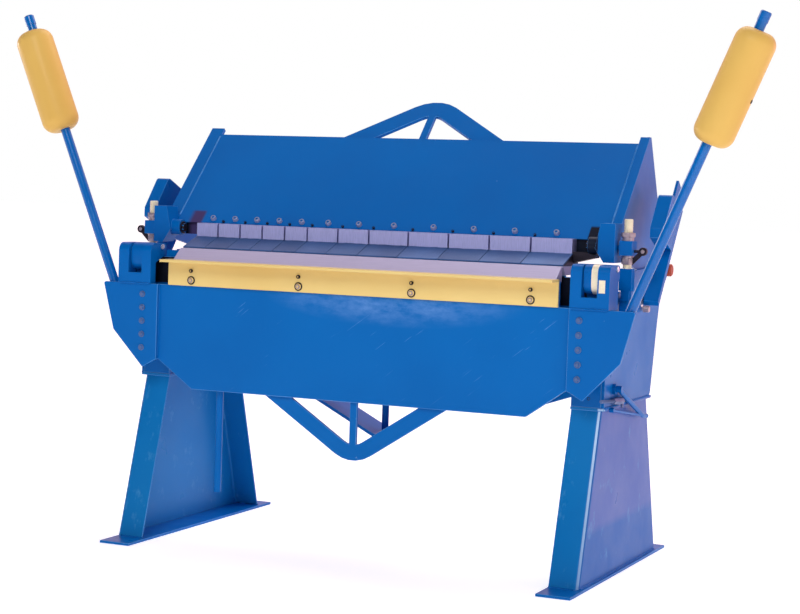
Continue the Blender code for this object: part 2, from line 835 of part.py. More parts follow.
def build_leaf_truss(axis):
    """The V-shaped flat bar under the apron, with its post."""
    near = leaf_back_y + seat_gap
    far = near + leaf_truss_thickness
    outline = bent_strap(leaf_truss_half_span, leaf_truss_apex_z, leaf_truss_slope, leaf_truss_width,
                         leaf_truss_bend, upward=False)
    strap = plate(outline, near, far, "Y")
    post = block((-leaf_post_width / 2, near, leaf_truss_apex_z),
                 (leaf_post_width / 2, far, leaf_post_top_z))
    made("leaf_truss", [strap, post], blue_paint("leaf_truss_paint"), axis)


def arm_point(side, height):
    """A point on a counterweight arm's axis at a height above the wing's top."""
    return Vector((side * (arm_crossing_x + height * math.tan(arm_lean)), arm_y, leaf_shoulder_z + height))


def build_arm(side, axis):
    """A pipe that leans outward from behind the wing, with a cap, and the weight that slides on it.

    The weight hangs a little further out than the pipe, so its bore lies off its middle.
    """
    foot = arm_point(side, -arm_foot_drop)
    tip = arm_point(side, arm_rise)
    way = (tip - foot).normalized()
    length = (tip - foot).length
    profile = [(0, arm_radius), (length - arm_cap_length, arm_radius),
               (length - arm_cap_length, arm_cap_radius), (length, arm_cap_radius)]
    name = side_name("arm", side)
    made(name, [turned(foot, way, profile, pin_sides)], blue_paint(name + "_paint"), axis)

    crown = [(weight_end - across, weight_flat_radius + rise)
             for across, rise in ellipse(weight_end, weight_radius - weight_flat_radius, arc_steps + 1)]
    outer = crown + [(weight_length - along, radius) for along, radius in crown[::-1]]
    start = tip - way * (weight_top_margin + weight_length)
    outward = Vector((side * math.cos(arm_lean), 0, -math.sin(arm_lean)))
    bore = rod(start - way * overrun, start + way * (weight_length + overrun), arm_radius + running_gap)
    name = side_name("weight", side)
    made(name, [turned(start + outward * weight_offset, way, outer, fine_sides)],
         yellow_paint(name + "_paint"), axis, [bore])


def build_stop_rod(leaf_axis, rod_axis):
    """The angle stop rod that hangs behind the apron, and the ears and pin that carry it."""
    near_y = leaf_back_y + seat_gap
    ear_gap = stop_eye_width / 2 + running_gap
    ears = []
    for side in (-1, 1):
        inner = stop_rod_x + side * ear_gap
        outer = inner + side * stop_ear_width
        ears.append(block((min(inner, outer), near_y, stop_pivot_z - stop_eye_radius),
                          (max(inner, outer), stop_rod_y + stop_eye_radius, stop_pivot_z + stop_eye_radius)))
    back = block((stop_rod_x - ear_gap - stop_ear_width, near_y, stop_pivot_z - stop_eye_radius),
                 (stop_rod_x + ear_gap + stop_ear_width, near_y + stop_ear_width / 2,
                  stop_pivot_z + stop_eye_radius))
    reach = ear_gap + stop_ear_width - seat_gap
    pin = cross_bar(stop_rod_x - reach, stop_rod_x + reach, stop_rod_y, stop_pivot_z, stop_pin_radius,
                    rod_sides)
    made("stop_rod_ears", [back] + ears + [pin], blue_paint("stop_rod_ear_paint"), leaf_axis)
    eye = cross_bar(stop_rod_x - stop_eye_width / 2, stop_rod_x + stop_eye_width / 2, stop_rod_y,
                    stop_pivot_z, stop_eye_radius)
    bar = rod((stop_rod_x, stop_rod_y, stop_pivot_z - stop_eye_radius - stop_rod_radius),
              (stop_rod_x, stop_rod_y, stop_rod_bottom_z), stop_rod_radius)
    neck = rod((stop_rod_x, stop_rod_y, stop_pivot_z - stop_eye_radius + overrun),
               (stop_rod_x, stop_rod_y, stop_pivot_z - stop_eye_radius - stop_rod_radius - overrun),
               stop_eye_width / 2 - running_gap, rod_sides)
    hole = cross_bar(stop_rod_x - stop_eye_width, stop_rod_x + stop_eye_width, stop_rod_y, stop_pivot_z,
                     stop_pin_radius + running_gap, rod_sides)
    made("stop_rod", [bar, neck, eye], blue_paint("stop_rod_paint"), rod_axis, [hole])


def beam_front_y(height):
    """Depth of the beam plate's front face at a height."""
    return beam_foot_y + (height - beam_foot_z) * math.tan(beam_lean)


def build_beam(axis):
    """The leaning beam plate with the rail behind the fingers."""
    thickness_run = beam_sheet / math.cos(beam_lean)
    top_y = beam_foot_y + beam_slope_length * math.sin(beam_lean)
    top_z = beam_foot_z + beam_slope_length * math.cos(beam_lean)
    profile = [(beam_foot_y, beam_foot_z), (top_y, top_z),
               (top_y + beam_sheet * math.cos(beam_lean), top_z - beam_sheet * math.sin(beam_lean)),
               (beam_foot_y + thickness_run, beam_foot_z)]
    sheet = plate(profile, -beam_half_length, beam_half_length)
    rail_y = finger_shank_depth + seat_gap
    rail_half = casting_inner_x - seat_gap
    rail = block((-rail_half - left_end_shift, rail_y, rail_bottom_z),
                 (rail_half, rail_y + rail_depth, rail_top_z))
    made("beam_plate", [sheet, rail, gathered(finger_bolts())], blue_paint("beam_plate_paint"), axis)


def finger_bolts():
    """The bolt above each finger and the set screws between the bolts."""
    edges = finger_edges()
    outward = (0, -math.cos(beam_lean), math.sin(beam_lean))
    heads = []
    for left, right in zip(edges, edges[1:]):
        place = Vector(((left + right) / 2, 0, 0)) + slope_place(finger_bolt_rise)
        heads.append(domed_bolt(place, outward, finger_bolt_radius, finger_bolt_height))
    for edge in edges[1:-1]:
        place = Vector((edge, 0, 0)) + slope_place(set_screw_rise)
        heads.append(domed_bolt(place, outward, set_screw_radius, set_screw_height))
    return heads


def build_beam_end(side, axis):
    """A web plate at the beam's end, from the front strip down to the rear pivot."""
    strip_top = beam_slope_length + end_strip_rise
    top_y = beam_foot_y + strip_top * math.sin(beam_lean)
    top_z = beam_foot_z + strip_top * math.cos(beam_lean)
    pivot = (beam_pivot_y, beam_pivot_z)
    front_z = beam_foot_z + (end_web_front_y - beam_foot_y) / math.tan(beam_lean)
    outline = [(end_web_front_y, end_web_front_bottom_z), (end_web_front_y, front_z), (top_y, top_z),
               (top_y + end_web_top_step, top_z), (end_web_back_y, end_web_back_z),
               (end_web_heel_y, end_web_heel_z)]
    outline += arc(pivot, end_web_boss, 0, heel_turn, arc_steps)
    outline += [(end_web_belly_y, end_web_belly_z)]
    outer = side * end_web_outer_x
    web = plate(outline, outer - side * end_web_thickness, outer)
    strip_near = side * (beam_half_length + seat_gap - (left_end_shift if side < 0 else 0))
    strip_far = outer + (-left_strip_spread if side < 0 else 0)
    strip_foot = (end_web_front_y - beam_foot_y) / math.sin(beam_lean)
    strip = block((min(strip_near, strip_far), 0, strip_foot),
                  (max(strip_near, strip_far), beam_sheet, strip_top))
    head = cross_bar(outer - side * end_web_thickness, outer + side * web_bolt_height, web_bolt_y,
                     web_bolt_z, web_bolt_radius, nut_sides)
    bore = cross_bar(outer - side * (end_web_thickness + overrun), outer + side * overrun, *pivot,
                     beam_pin_radius + seat_gap)
    name = side_name("beam_end", side)
    made(name, [web, leaned(strip), head], blue_paint(name + "_paint"), axis, [bore])


def build_beam_truss(axis):
    """The roof-shaped flat bar behind the beam plate, with its post."""
    near = beam_sheet + seat_gap
    far = near + beam_truss_thickness
    outline = bent_strap(beam_truss_half_span, beam_truss_apex, beam_truss_slope, beam_truss_width,
                         beam_truss_bend, upward=True)
    post = block((-beam_post_width / 2, near, beam_post_foot), (beam_post_width / 2, far, beam_truss_apex))
    made("beam_truss", [leaned(plate(outline, near, far, "Y")), leaned(post)],
         blue_paint("beam_truss_paint"), axis)


def build_beam_pivot(side, axis):
    """The pin that the beam turns on, and its round end cap."""
    cap_x = side_plate_outer_x + seat_gap
    place = (beam_pivot_y, beam_pivot_z)
    name = side_name("beam_pivot_pin", side)
    pin = cross_bar(side * beam_pin_inner_x, side * cap_x, *place, beam_pin_radius)
    made(name, [pin], steel(name + "_steel"), axis)
    profile = [(0, pivot_cap_radius), (pivot_cap_length * head_shoulder_share, pivot_cap_radius),
               (pivot_cap_length, pivot_cap_radius * head_shoulder_share)]
    cap = turned((side * (cap_x + seat_gap), *place), (side, 0, 0), profile, pin_sides)
    name = side_name("pivot_cap", side)
    made(name, [cap], finish(name + "_paint", cap_red, 0.45, 0), axis)


def finger_edges():
    """The places along X where the fingers meet, from left to right."""
    widths = ([finger_small_width] * finger_small_count + [finger_middle_width] * finger_middle_count
              + [finger_large_width] * finger_large_count)
    edges = [-finger_span / 2]
    for width in widths:
        edges.append(edges[-1] + width)
    return edges


def build_fingers(axis):
    """The row of fingers under the beam plate."""
    foot_z = bed_height + seat_gap
    heel_z = foot_z + finger_heel_height
    outline = [(-finger_nose_reach, foot_z), (finger_shank_depth - face_step, foot_z),
               (finger_shank_depth - face_step, heel_z), (0, heel_z),
               (-finger_nose_reach, foot_z + finger_nose_thickness)]
    edges = finger_edges()
    inset = finger_seam / 2 + finger_shank_relief
    for index, (left, right) in enumerate(zip(edges, edges[1:])):
        name = "finger_%02d" % (index + 1)
        foot = plate(outline, left + finger_seam / 2, right - finger_seam / 2)
        shank = block((left + inset, 0, heel_z - overrun),
                      (right - inset, finger_shank_depth, finger_top_z - seat_gap))
        made(name, [foot, shank], finish(name + "_steel", tool_slate, 0.35, 1), axis, smooth=False)


def slope_place(rise):
    """A point on the beam plate's front face, a distance up its slope."""
    return Vector((0, beam_foot_y + rise * math.sin(beam_lean), beam_foot_z + rise * math.cos(beam_lean)))


def build_casting(side, axis):
    """The casting on the beam's end that the link's swivel turns in."""
    outline = [(casting_top_inner_x, casting_top_z), (casting_outer_x, casting_top_z),
               (casting_outer_x, casting_bottom_z), (casting_bottom_inner_x, casting_bottom_z),
               (casting_inner_x, casting_cheek_z)]
    body = plate(mirrored(outline, side), casting_front_y, end_web_front_y - seat_gap, "Y")
    boss = cross_bar(side * casting_boss_x, side * casting_bottom_inner_x, casting_boss_y, casting_boss_z,
                     casting_boss_radius)
    bolt = cross_bar(side * (casting_boss_x - casting_bolt_height), side * casting_bottom_inner_x,
                     casting_boss_y, casting_boss_z, casting_bolt_radius, nut_sides)
    face = seat_gap / math.cos(beam_lean)
    high_z = casting_top_z + overrun
    low_z = beam_foot_z - seat_gap
    slope = [(beam_front_y(low_z) - face, low_z), (beam_front_y(high_z) - face, high_z),
             (beam_front_y(high_z) + overrun, high_z), (beam_front_y(high_z) + overrun, low_z)]
    trim = plate(slope, side * (casting_boss_x - overrun), side * (casting_outer_x + overrun))
    bore = cross_bar(side * (casting_outer_x - trunnion_reach), side * (casting_outer_x + overrun),
                     link_y, swivel_z, trunnion_radius + running_gap)
    name = side_name("beam_casting", side)
    made(name, [body, boss, bolt], blue_paint(name + "_paint"), axis, [trim, bore])


def build_link(side, axis):
    """The threaded link with its swivel block, its nuts and the eye round the crank pin."""
    centre_x = side * link_x
    eye = cross_bar(centre_x - link_eye_width / 2, centre_x + link_eye_width / 2, crank_pin_y, crank_pin_z,
                    link_eye_radius)
    stem = rod((centre_x, link_y, crank_pin_z), (centre_x, link_y, link_top_z), link_rod_radius)
    hole = cross_bar(centre_x - link_eye_width, centre_x + link_eye_width, crank_pin_y, crank_pin_z,
                     crank_pin_radius + open_pivot_clearance)
    nuts = [nut(centre_x, swivel_z + upper_nut_rise, upper_nut_height, upper_nut_radius),
            nut(centre_x, swivel_z - lower_nut_drop, lower_nut_height, lower_nut_radius)]
    collars = []
    half = swivel_height / 2 + seat_gap
    for low_z, high_z in ((swivel_z + half, swivel_z + upper_nut_rise + overrun),
                          (swivel_z - lower_nut_drop + lower_nut_height - overrun, swivel_z - half)):
        collars.append(rod((centre_x, link_y, low_z), (centre_x, link_y, high_z), collar_radius))
    name = side_name("link_rod", side)
    made(name, [stem, eye] + nuts + collars, steel(name + "_steel"), axis, [hole])

    swivel = block((centre_x - swivel_width / 2, link_y - swivel_depth / 2, swivel_z - swivel_height / 2),
                   (centre_x + swivel_width / 2, link_y + swivel_depth / 2, swivel_z + swivel_height / 2))
    trunnion = cross_bar(side * (casting_outer_x - trunnion_reach + overrun), side * (link_x - overrun),
                         link_y, swivel_z, trunnion_radius)
    passage = rod((centre_x, link_y, swivel_z - swivel_height), (centre_x, link_y, swivel_z + swivel_height),
                  link_rod_radius + seat_gap)
    name = side_name("link_swivel", side)
    made(name, [swivel, trunnion], blue_paint(name + "_paint"), axis, [passage])


def nut(x, low_z, height, radius):
    """A hexagonal nut on the link, fast on its thread."""
    return rod((x, link_y, low_z), (x, link_y, low_z + height), radius, nut_sides)


def lever_place(along, back):
    """A point on the clamp lever, from its front lower corner: along the bar, and back from its face."""
    return (lever_front_y + along * math.sin(lever_lean) + back * math.cos(lever_lean),
            lever_front_z + along * math.cos(lever_lean) - back * math.sin(lever_lean))


def build_lever(side, axis):
    """The clamp lever: a bar with a crank at its foot, a rib behind and a block on its front."""
    bar = [lever_place(0, 0), lever_place(lever_length, 0), lever_place(lever_length, lever_thickness),
           lever_place(-lever_heel_drop, lever_thickness)]
    half = lever_thickness / 2
    rib = [lever_place(lever_rib_start, half), lever_place(lever_rib_length, half),
           lever_place(lever_rib_length, lever_rib_depth), lever_place(lever_rib_slope_end, lever_rib_depth)]
    shaft = (lever_pivot_y, lever_pivot_z)
    pin = (crank_pin_y, crank_pin_z)
    towards = math.degrees(math.atan2(pin[1] - shaft[1], pin[0] - shaft[0]))
    crank = (arc(pin, crank_tip_radius, towards - tip_turn, towards + tip_turn, boss_steps)
             + arc(shaft, crank_hub_radius, towards + quarter_turn, towards + 3 * quarter_turn, hub_steps))
    crank_far = crank_inner_x + crank_thickness
    arm = [lever_place(face_step, face_step), lever_place(lever_arm_length, face_step),
           lever_place(lever_arm_length, lever_arm_depth), lever_place(face_step, lever_arm_depth)]
    shapes = [plate(bar, side * lever_inner_x, side * lever_outer_x),
              plate(crank, side * crank_inner_x, side * crank_far),
              plate(arm, side * (crank_inner_x + face_step), side * (lever_inner_x + overrun)),
              plate(rib, side * (lever_inner_x + face_step),
                    side * (lever_inner_x + face_step + lever_rib_thickness)),
              cross_bar(side * (link_x - link_eye_width / 2), side * (crank_inner_x + overrun), *pin,
                        crank_pin_radius)]
    bore = cross_bar(side * (crank_inner_x - overrun), side * (lever_inner_x - seat_gap), *shaft,
                     lever_shaft_radius + running_gap)
    name = side_name("clamp_lever", side)
    made(name, shapes, blue_paint(name + "_paint"), axis, [bore])

    outline = [lever_place(block_seat_start, -seat_gap), lever_place(block_seat_end, -seat_gap),
               (block_peak_y, block_peak_z), (block_low_y, block_front_z), (block_low_y, block_low_z)]
    outline = filleted(outline, {2: block_corner, 3: block_corner})
    name = side_name("lever_block", side)
    made(name, [plate(outline, side * lever_inner_x, side * lever_outer_x)],
         blue_paint(name + "_paint"), axis)


def build():
    """The whole machine on its joint axes."""
    for item in list(bpy.data.objects):
        bpy.data.objects.remove(item, do_unlink=True)
    frame = axis_empty("frame_origin", (0, 0, 0))
    frame.location.y = -footprint_middle_y
    leaf = axis_empty("leaf_axis", (0, hinge_y, hinge_z), frame)
    beam = axis_empty("beam_axis", (0, beam_pivot_y, beam_pivot_z), frame)
    build_bed(frame)
    build_hook_rod(frame)
    build_leaf(leaf)
    build_leaf_truss(leaf)
    stop_axis = axis_empty("stop_rod_axis", (stop_rod_x, stop_rod_y, stop_pivot_z), leaf)
    build_stop_rod(leaf, stop_axis)
    build_beam(beam)
    build_beam_truss(beam)
    build_fingers(beam)
    for side in (-1, 1):
        end_shift = left_end_shift if side < 0 else 0
        hinge_shift = left_hinge_shift if side < 0 else 0
        frame_end = axis_empty(side_name("frame_end", side), (0, 0, 0), frame, end_shift)
        build_stand(side, frame_end)
        build_base_plate(side, frame)
        build_side_plate(side, frame_end)
        build_lever_shaft(side, frame_end)
        hinge_end = axis_empty(side_name("hinge_end", side), (0, 0, 0), frame, hinge_shift)
        build_frame_hinge(side, hinge_end)
        build_hinge_pin(side, hinge_end)
        leaf_end = axis_empty(side_name("leaf_end", side), (0, hinge_y, hinge_z), leaf, hinge_shift)
        build_leaf_hinge(side, leaf_end)
        build_wing(side, leaf)
        build_arm(side, leaf)
        beam_end = axis_empty(side_name("beam_end_axis", side), (0, beam_pivot_y, beam_pivot_z), beam,
                              end_shift)
        build_beam_end(side, beam_end)
        build_beam_pivot(side, beam_end)
        build_casting(side, beam_end)
        link_axis = axis_empty(side_name("link_axis", side), (side * link_x, link_y, swivel_z), beam_end)
        build_link(side, link_axis)
        lever_axis = axis_empty(side_name("lever_axis", side),
                                (side * lever_inner_x, lever_pivot_y, lever_pivot_z), frame_end)
        build_lever(side, lever_axis)


build()
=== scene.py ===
"""The looks of a box and pan folder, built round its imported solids.

Sizes are metres in the frame's own axes: X to the operator's right, Y away, Z up.
"""
import json
import math

import bmesh
import bpy
from mathutils import Matrix, Vector


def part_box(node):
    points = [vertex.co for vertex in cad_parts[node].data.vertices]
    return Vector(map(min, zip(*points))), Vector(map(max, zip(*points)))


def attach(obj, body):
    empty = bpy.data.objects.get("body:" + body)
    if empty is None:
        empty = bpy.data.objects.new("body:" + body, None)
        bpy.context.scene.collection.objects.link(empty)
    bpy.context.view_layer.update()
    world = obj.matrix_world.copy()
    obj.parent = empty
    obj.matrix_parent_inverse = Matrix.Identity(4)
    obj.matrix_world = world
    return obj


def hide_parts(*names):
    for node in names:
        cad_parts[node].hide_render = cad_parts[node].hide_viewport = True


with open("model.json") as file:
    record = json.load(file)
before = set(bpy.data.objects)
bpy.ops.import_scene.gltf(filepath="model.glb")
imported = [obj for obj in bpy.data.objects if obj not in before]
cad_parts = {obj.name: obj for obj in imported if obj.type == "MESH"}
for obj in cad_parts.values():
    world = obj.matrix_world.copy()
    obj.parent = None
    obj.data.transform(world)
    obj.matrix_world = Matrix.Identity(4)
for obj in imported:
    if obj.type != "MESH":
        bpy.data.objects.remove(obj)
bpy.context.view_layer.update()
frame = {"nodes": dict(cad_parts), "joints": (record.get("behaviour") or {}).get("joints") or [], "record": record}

joints = {joint["name"]: joint for joint in frame["joints"]}
nodes = frame["nodes"]
sides = {"left": -1, "right": 1}

# Camera, solved from the photograph
photo_width = 800
focal_pixels = 1911.1
sensor_width = 36
camera_place = Vector((2.340, -5.27975, 1.086))
camera_yaw = math.radians(23.77)
camera_pitch = math.radians(3.54)
camera_roll = math.radians(1.93)

# Places read from the frame, and two directions
hinge_set_forward = 0.085
wing_reach = 0.0123
angle_reach = 0.0083
line_y = joints["leaf_fold"]["pos_m"][1] + hinge_set_forward
leaf_front_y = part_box("leaf_plate")[0].y
wing_front_y = leaf_front_y - wing_reach
angle_front_y = leaf_front_y - angle_reach
right_swivel_x = joints["link_swing_right"]["pos_m"][0]
shank_foot_z = 0.92
beam_lean = math.radians(43.8)
beam_foot = Vector((0, line_y + 0.0303, 0.9613))
toward = (0, -1, 0)
up = (0, 0, 1)

# Studio: the floor, the room and the lamps' places, aims, sizes, powers and colours
floor_half = 60
floor_glow = (0.48, 0.70)
floor_tone = (0.90, 0.90, 0.90)
floor_roughness = 0.9
floor_glow_from = 2.5
floor_glow_to = 9.0
room_front = (0.07, 0.09, 0.12)
room_back = (1.0, 0.68, 0.74)
room_seen = (1.0, 1.0, 1.0)
room_turn_low = -0.20
room_turn_high = 0.25
lamps = {
    "key": ((0.6, -5.6, 5.0), (0, 0, 0.7), 2.6, 195, (1, 1, 1)),
    "fill": ((3.4, -5.4, 2.6), (0.6, 0, 0.9), 2.0, 30, (1, 1, 1)),
    "top": ((0.5, 2.6, 5.2), (0, 0, 0.4), 4.0, 130, (1, 1, 1)),
    "glance": ((4.6, 5.2, 1.6), (0.7, 0, 0.8), 2.4, 65, (1.0, 0.25, 0.38)),
    "strip": ((6.0, -1.9, 1.0), (0.7, 0, 0.5), 0.6, 30, (1, 0.92, 0.95)),
    "rim": ((-6.0, 1.0, 1.5), (0, 0, 1.1), 0.6, 40, (1, 1, 1)),
}

# Finishes
paint_roughness = 0.32
paint_spread = (-0.05, 0.09)
paint_gloss = 0.08
paint_coat = 0.03
paint_coat_roughness = 0.15
paint_relief = (0.10, 0.0004)
steel_spread = (-0.07, 0.1)
steel_metal = 0.85
steel_lines = 0.6
steel_relief = (0.25, 0.0002)
finger_relief = (0.15, 0.0002)
finger_shift = (0.37, 0.11)
finger_stretch = (9, 9, 0.6)
finger_tint = 0.10
finger_tint_turn = 2.3
finger_foot = (0.029, 0.088, 0.240)
finger_foot_pale = (0.048, 0.130, 0.320)
finger_shank = (0.42, 0.44, 0.78)
finger_shank_deep = (0.32, 0.35, 0.64)
finger_roughness = (0.34, 0.52)
finger_metal = (0.35, 0.55)
floor_shade = 0.985

# Noise: scale, detail, roughness and stretch. A pattern also has the range used and what it becomes
middle_range = (0.3, 0.7)
wide_range = (0.2, 0.8)
fleck_noise = (55, 6, 0.62)
fleck_range = (0.745, 0.775, 0, 0.6)
sheen_noise = (9, 3)
brush_noise = (260, 2)
grind_noise = (60, 3, 0.6)
cloud_pattern = ((2.2, 4), (0.35, 0.7))
patch_pattern = ((4.5, 2), (0.5, 0.72, 0, 0.055))
# rub_sheen_pattern is the pale apron patch: rubbed paint with a painted sheen
rub_sheen_pattern = ((16, 5, 0.65, (1, 1, 2.2)), (0.38, 0.75, 0.1, 0.75))
scratch_pattern = ((9, 2, 0.5, (1.2, 1, 34)), (0.70, 0.74))
sparse_pattern = ((5, 2), (0.48, 0.62, 0, 0.5))
# highlight_break_pattern breaks up the painted highlight line on the right arm
highlight_break_pattern = ((12, 3), (0.35, 0.60, 0.45, 0.95))
stand_pattern = ((13, 6, 0.70, (1.6, 1, 0.8)), (0.58, 0.72, 0, 0.5))
stain_pattern = ((7, 4, 0.6), (0.55, 0.75, 0, 0.5))
waver_pattern = ((40, 3), (0.3, 0.7, -0.0008, 0.0008))
foot_pattern = ((9, 4), (0.35, 0.7))
floor_pattern = ((0.8, 3), middle_range)

# Edges and roundness
edge_round = 0.0012
plate_edge_round = 0.0016
edge_segments = 2
merge_distance = 0.00001
flat_limit = math.radians(1)
sharp_limit = math.radians(30)
smooth_limit = math.radians(40)
round_sides = 32
screw_sides = 24
proud = 0.0006

# Turned profiles: how far along, how wide and, for flats, how many corners. Most are scaled later
socket_head = [(-0.5, 1), (0.72, 1), (1, 0.84), (1, 0.58, 6), (0.45, 0.52, 6)]
ringed_head = [(-0.5, 1), (0.45, 1), (0.60, 0.92), (0.60, 0.60), (1, 0.52), (1, 0.20)]
boss_bolt = [(0, 1, 6), (0.0068, 1, 6), (0.0088, 0.86), (0.0088, 0.3)]
keeper_bolt = [(0, 1), (0.0100, 1), (0.0120, 0.86), (0.0120, 0.52), (0.0090, 0.48)]
plug = [(-0.001, 1), (0.0005, 1), (0.0008, 0.8), (-0.0004, 0.6)]
adjuster_nut = [(0, 0.0085, 6), (0.45, 0.0100, 6), (0.5, 0.0110), (1, 0.0110)]
weight_screw = [(-0.004, 0.0062), (0.0004, 0.0062), (0.0012, 0.0052), (0.0012, 0.0034, 6),
                (-0.002, 0.0030, 6)]

# Counterweight arms and weights
# A cut of two numbers is how far an end narrows and the share of its radius that is left
arm_lean = math.radians(22.6)
arm_crossing_x = 0.8225
arm_y = -0.1205
arm_foot_drop = 0.114
arm_rise = 0.809
arm_radius = 0.0142
arm_cap_length = 0.030
arm_cap_radius = 0.0155
arm_cap_cut = (0.003, 0.82)
shoulder_z = 0.774
weight_radius = 0.05715
weight_length = 0.325
weight_end = 0.036
weight_flat_radius = 0.024
weight_offset = 0.006
weight_top_margin = 0.052
weight_steps = 12
weight_sides = 64
weight_clearance = 0.0006
weight_screw_share = 0.55

# Fasteners
finger_bolt_radius = 0.0086
finger_bolt_height = 0.0108
finger_bolt_rise = 0.016
set_screw_radius = 0.0041
set_screw_height = 0.0058
set_screw_rise = 0.006
angle_bolt_radius = 0.0128
angle_bolt_height = 0.0078
angle_bolt_rise = 0.017
angle_head_radius = 0.56 * angle_bolt_radius
angle_washer = (-0.002, 0.0022)
washer_cut = (0.0006, 0.95)
jack_screw_radius = 0.0056
jack_screw_rise = 0.0455
angle_bolt_half_span = 0.540
angle_bolt_count = 4
wing_bolt_radius = 0.0092
wing_bolt_height = 0.0068
wing_bolt_x = {"left": 0.7055, "right": 0.6855}
wing_bolt_top_z = 0.742
wing_bolt_pitch = 0.0406
wing_bolt_count = 5
boss_bolt_radius = 0.0136
boss_washer_radius = 0.0190
boss_washer = (-0.001, 0.0030)
boss_washer_cut = (0.0008, 0.94)
boss_reach = 0.008
boss_y = 0.014
boss_z = 0.9445

# Links
link_y = 0.020
stud_radius = 0.0127
thread_depth = 0.0010
thread_pitch = 0.0026
upper_nut_radius = 0.0212
upper_nut_rise = 0.0305
upper_nut_height = 0.013
lower_nut_radius = 0.0185
lower_nut_drop = 0.0455
lower_nut_height = 0.018
nut_sides = 48
nut_flats = 6
nut_cut = 0.002
nut_face_share = 0.84
collar_radius = 0.0165
swivel_half = 0.0208
swivel_stud_share = 0.98
link_top_rise = 0.0815
link_eye_radius = 0.0225
link_eye_width = 0.026
link_eye_hole = 0.0112
link_eye_cut = 0.0015
crank_pin_y = 0.0197742
crank_pin_z = 0.7742671
fork_half = 0.0190
fork_depth = 0.0130
fork_leg_half = 0.0127
fork_leg_depth = 0.0110
fork_leg_rise = 0.010
fork_foot_z = 0.822
fork_overlap = 0.002
fork_top_drop = 0.012
block_corner = 0.0015

# Marks in the paint, among them painted shade, painted highlights and a painted sheen: where they lie, how softly
# they end and their tones
mark_blur = 0.003
edge_blur = 0.002
fine_blur = 0.0006
# The pale patch on the apron: partly rubbed paint, partly a painted sheen
rub_sheen_x = 0.12
rub_sheen_z = 0.772
rub_sheen_half_width = 0.42
rub_sheen_half_height = 0.085
rub_sheen_fade = 0.6
rub_sheen_tone = (0.13, 0.30, 0.66)
scratch_turn = math.radians(38)
scratch_tone = (0.16, 0.36, 0.72)
# Painted shade on the beam's foot and right of the fingers; a darker purple patch left of the fingers
shade_from_x = 0.642
dark_top_z = 1.000
beam_shade_tone = (0.006, 0.010, 0.022)
left_patch_rise = (-0.662, -0.645)
left_patch_fall = (-0.615, -0.605)
left_patch_tone = (0.055, 0.040, 0.130)
# Painted shade on the bed's web beside the angle bar's ends
bed_shade_left_x = -0.614
bed_shade_right_x = 0.585
bed_shade_tone = (0.008, 0.010, 0.020)
# Painted shade on the right casting's round boss
boss_shade_x = 0.690
boss_shade_tone = (0.010, 0.016, 0.034)
# A painted highlight line down the inner side of the right arm
highlight_line_low = 0.92
highlight_line_high = 0.70
highlight_line_tone = (0.50, 0.64, 0.90)
# The right stand's painted light: side tones of painted reflection and shade, shade on the front bend and a
# painted highlight line down it
stand_front_slope = 0.28689
stand_front_y = line_y - 0.201
stand_side_x = (0.7292, 0.7298)
stand_side_z = (0.145, 0.170)
stand_side_painted_shade = (0.000, 0.100, 0.400)
stand_side_painted_light = (0.055, 0.124, 0.420)
stand_bend_x = (0.7215, 0.7235)
stand_bend_depth = (stand_front_y + 0.0165, stand_front_y + 0.0185)
stand_bend_shade_tone = (0.002, 0.105, 0.380)
stand_highlight_depth = (stand_front_y + 0.0044, stand_front_y + 0.0052)
stand_highlight_fade = (0.02, 0.42, 0.45, 0.95)
stand_highlight_tone = (0.42, 0.62, 0.84)
stand_rub_tone = (0.09, 0.33, 0.60)

# Hinge, lever and keeper details
nose_top_corner = 0.024
nose_low_corner = 0.030
nose_steps = 6
nose_bottom_z = 0.815
nose_back_y = -0.090
band_width = 0.0195
pad_inner_x = 0.7385
pad_outer_x = 0.7565
pad_bottom_z = 0.8200
pad_top_z = 0.8555
pad_depth = 0.0004
hub_screw_drop = 0.018
hub_screw_offset = 0.001
hub_screw_radius = 0.0095
hub_screw_length = 0.017
hub_screw_cut = (0.002, 0.8)
keeper_ring = (0.8082, 0.020, 0.9335)
keeper_ring_radius = 0.0118
keeper_ring_back = 0.006
keeper_rod_offset = 0.018
keeper_rod_radius = 0.0042
keeper_rod_sides = 16
keeper_strap_foot = (0.775, 0.900)
keeper_strap_half = 0.0065
keeper_strap_depth = (-0.004, 0.002)
keeper_pin_radius = 0.0059
keeper_pin_height = 0.0056
keeper_pin_cut = (0.0014, 0.72)
keeper_pin_back = 0.001

# Adjuster
adjuster_x = 0.750
adjuster_front = (-0.126, 0.5215)
adjuster_seat = (-0.016, 0.5130)
adjuster_end = (0.060, 0.5080)
adjuster_radius = 0.0052
adjuster_tip = (0.002, 0.8)
adjuster_sides = 20
adjuster_eye = (0.050, 0.4955)
adjuster_eye_x = 0.754
adjuster_eye_radius = 0.0060
adjuster_eye_width = 0.006
adjuster_eye_cut = (0.001, 0.5)

# Stand's foot, a dark block standing in for shade at the finger row's end, strip and plug
stand_cap_reach = 0.0103
stand_width = 0.0868
stand_bend = 0.014
# A dark block and a thin dark sheet standing in for shade at the finger row's right end
shade_block_inner_x = 0.6094
shade_block_outer_x = 0.674
shade_block_cheek_x = 0.645
shade_block_low_z = 0.8935
shade_block_outer_z = 0.9095
shade_block_cheek_z = 0.9180
shade_block_top_z = 0.9252
shade_block_back_y = 0.045
shade_block_nose_y = -0.073
shade_block_foot_z = 0.8868
shade_block_sheet_width = 0.0016
strip_inner_x = 0.6135
strip_outer_x = 0.674
strip_low_z = 0.8562
strip_high_z = 0.876
strip_back_y = -0.054
bed_face_y = -0.066
plug_x = 0.6945
plug_z = 0.5207
plug_radius = 0.0048

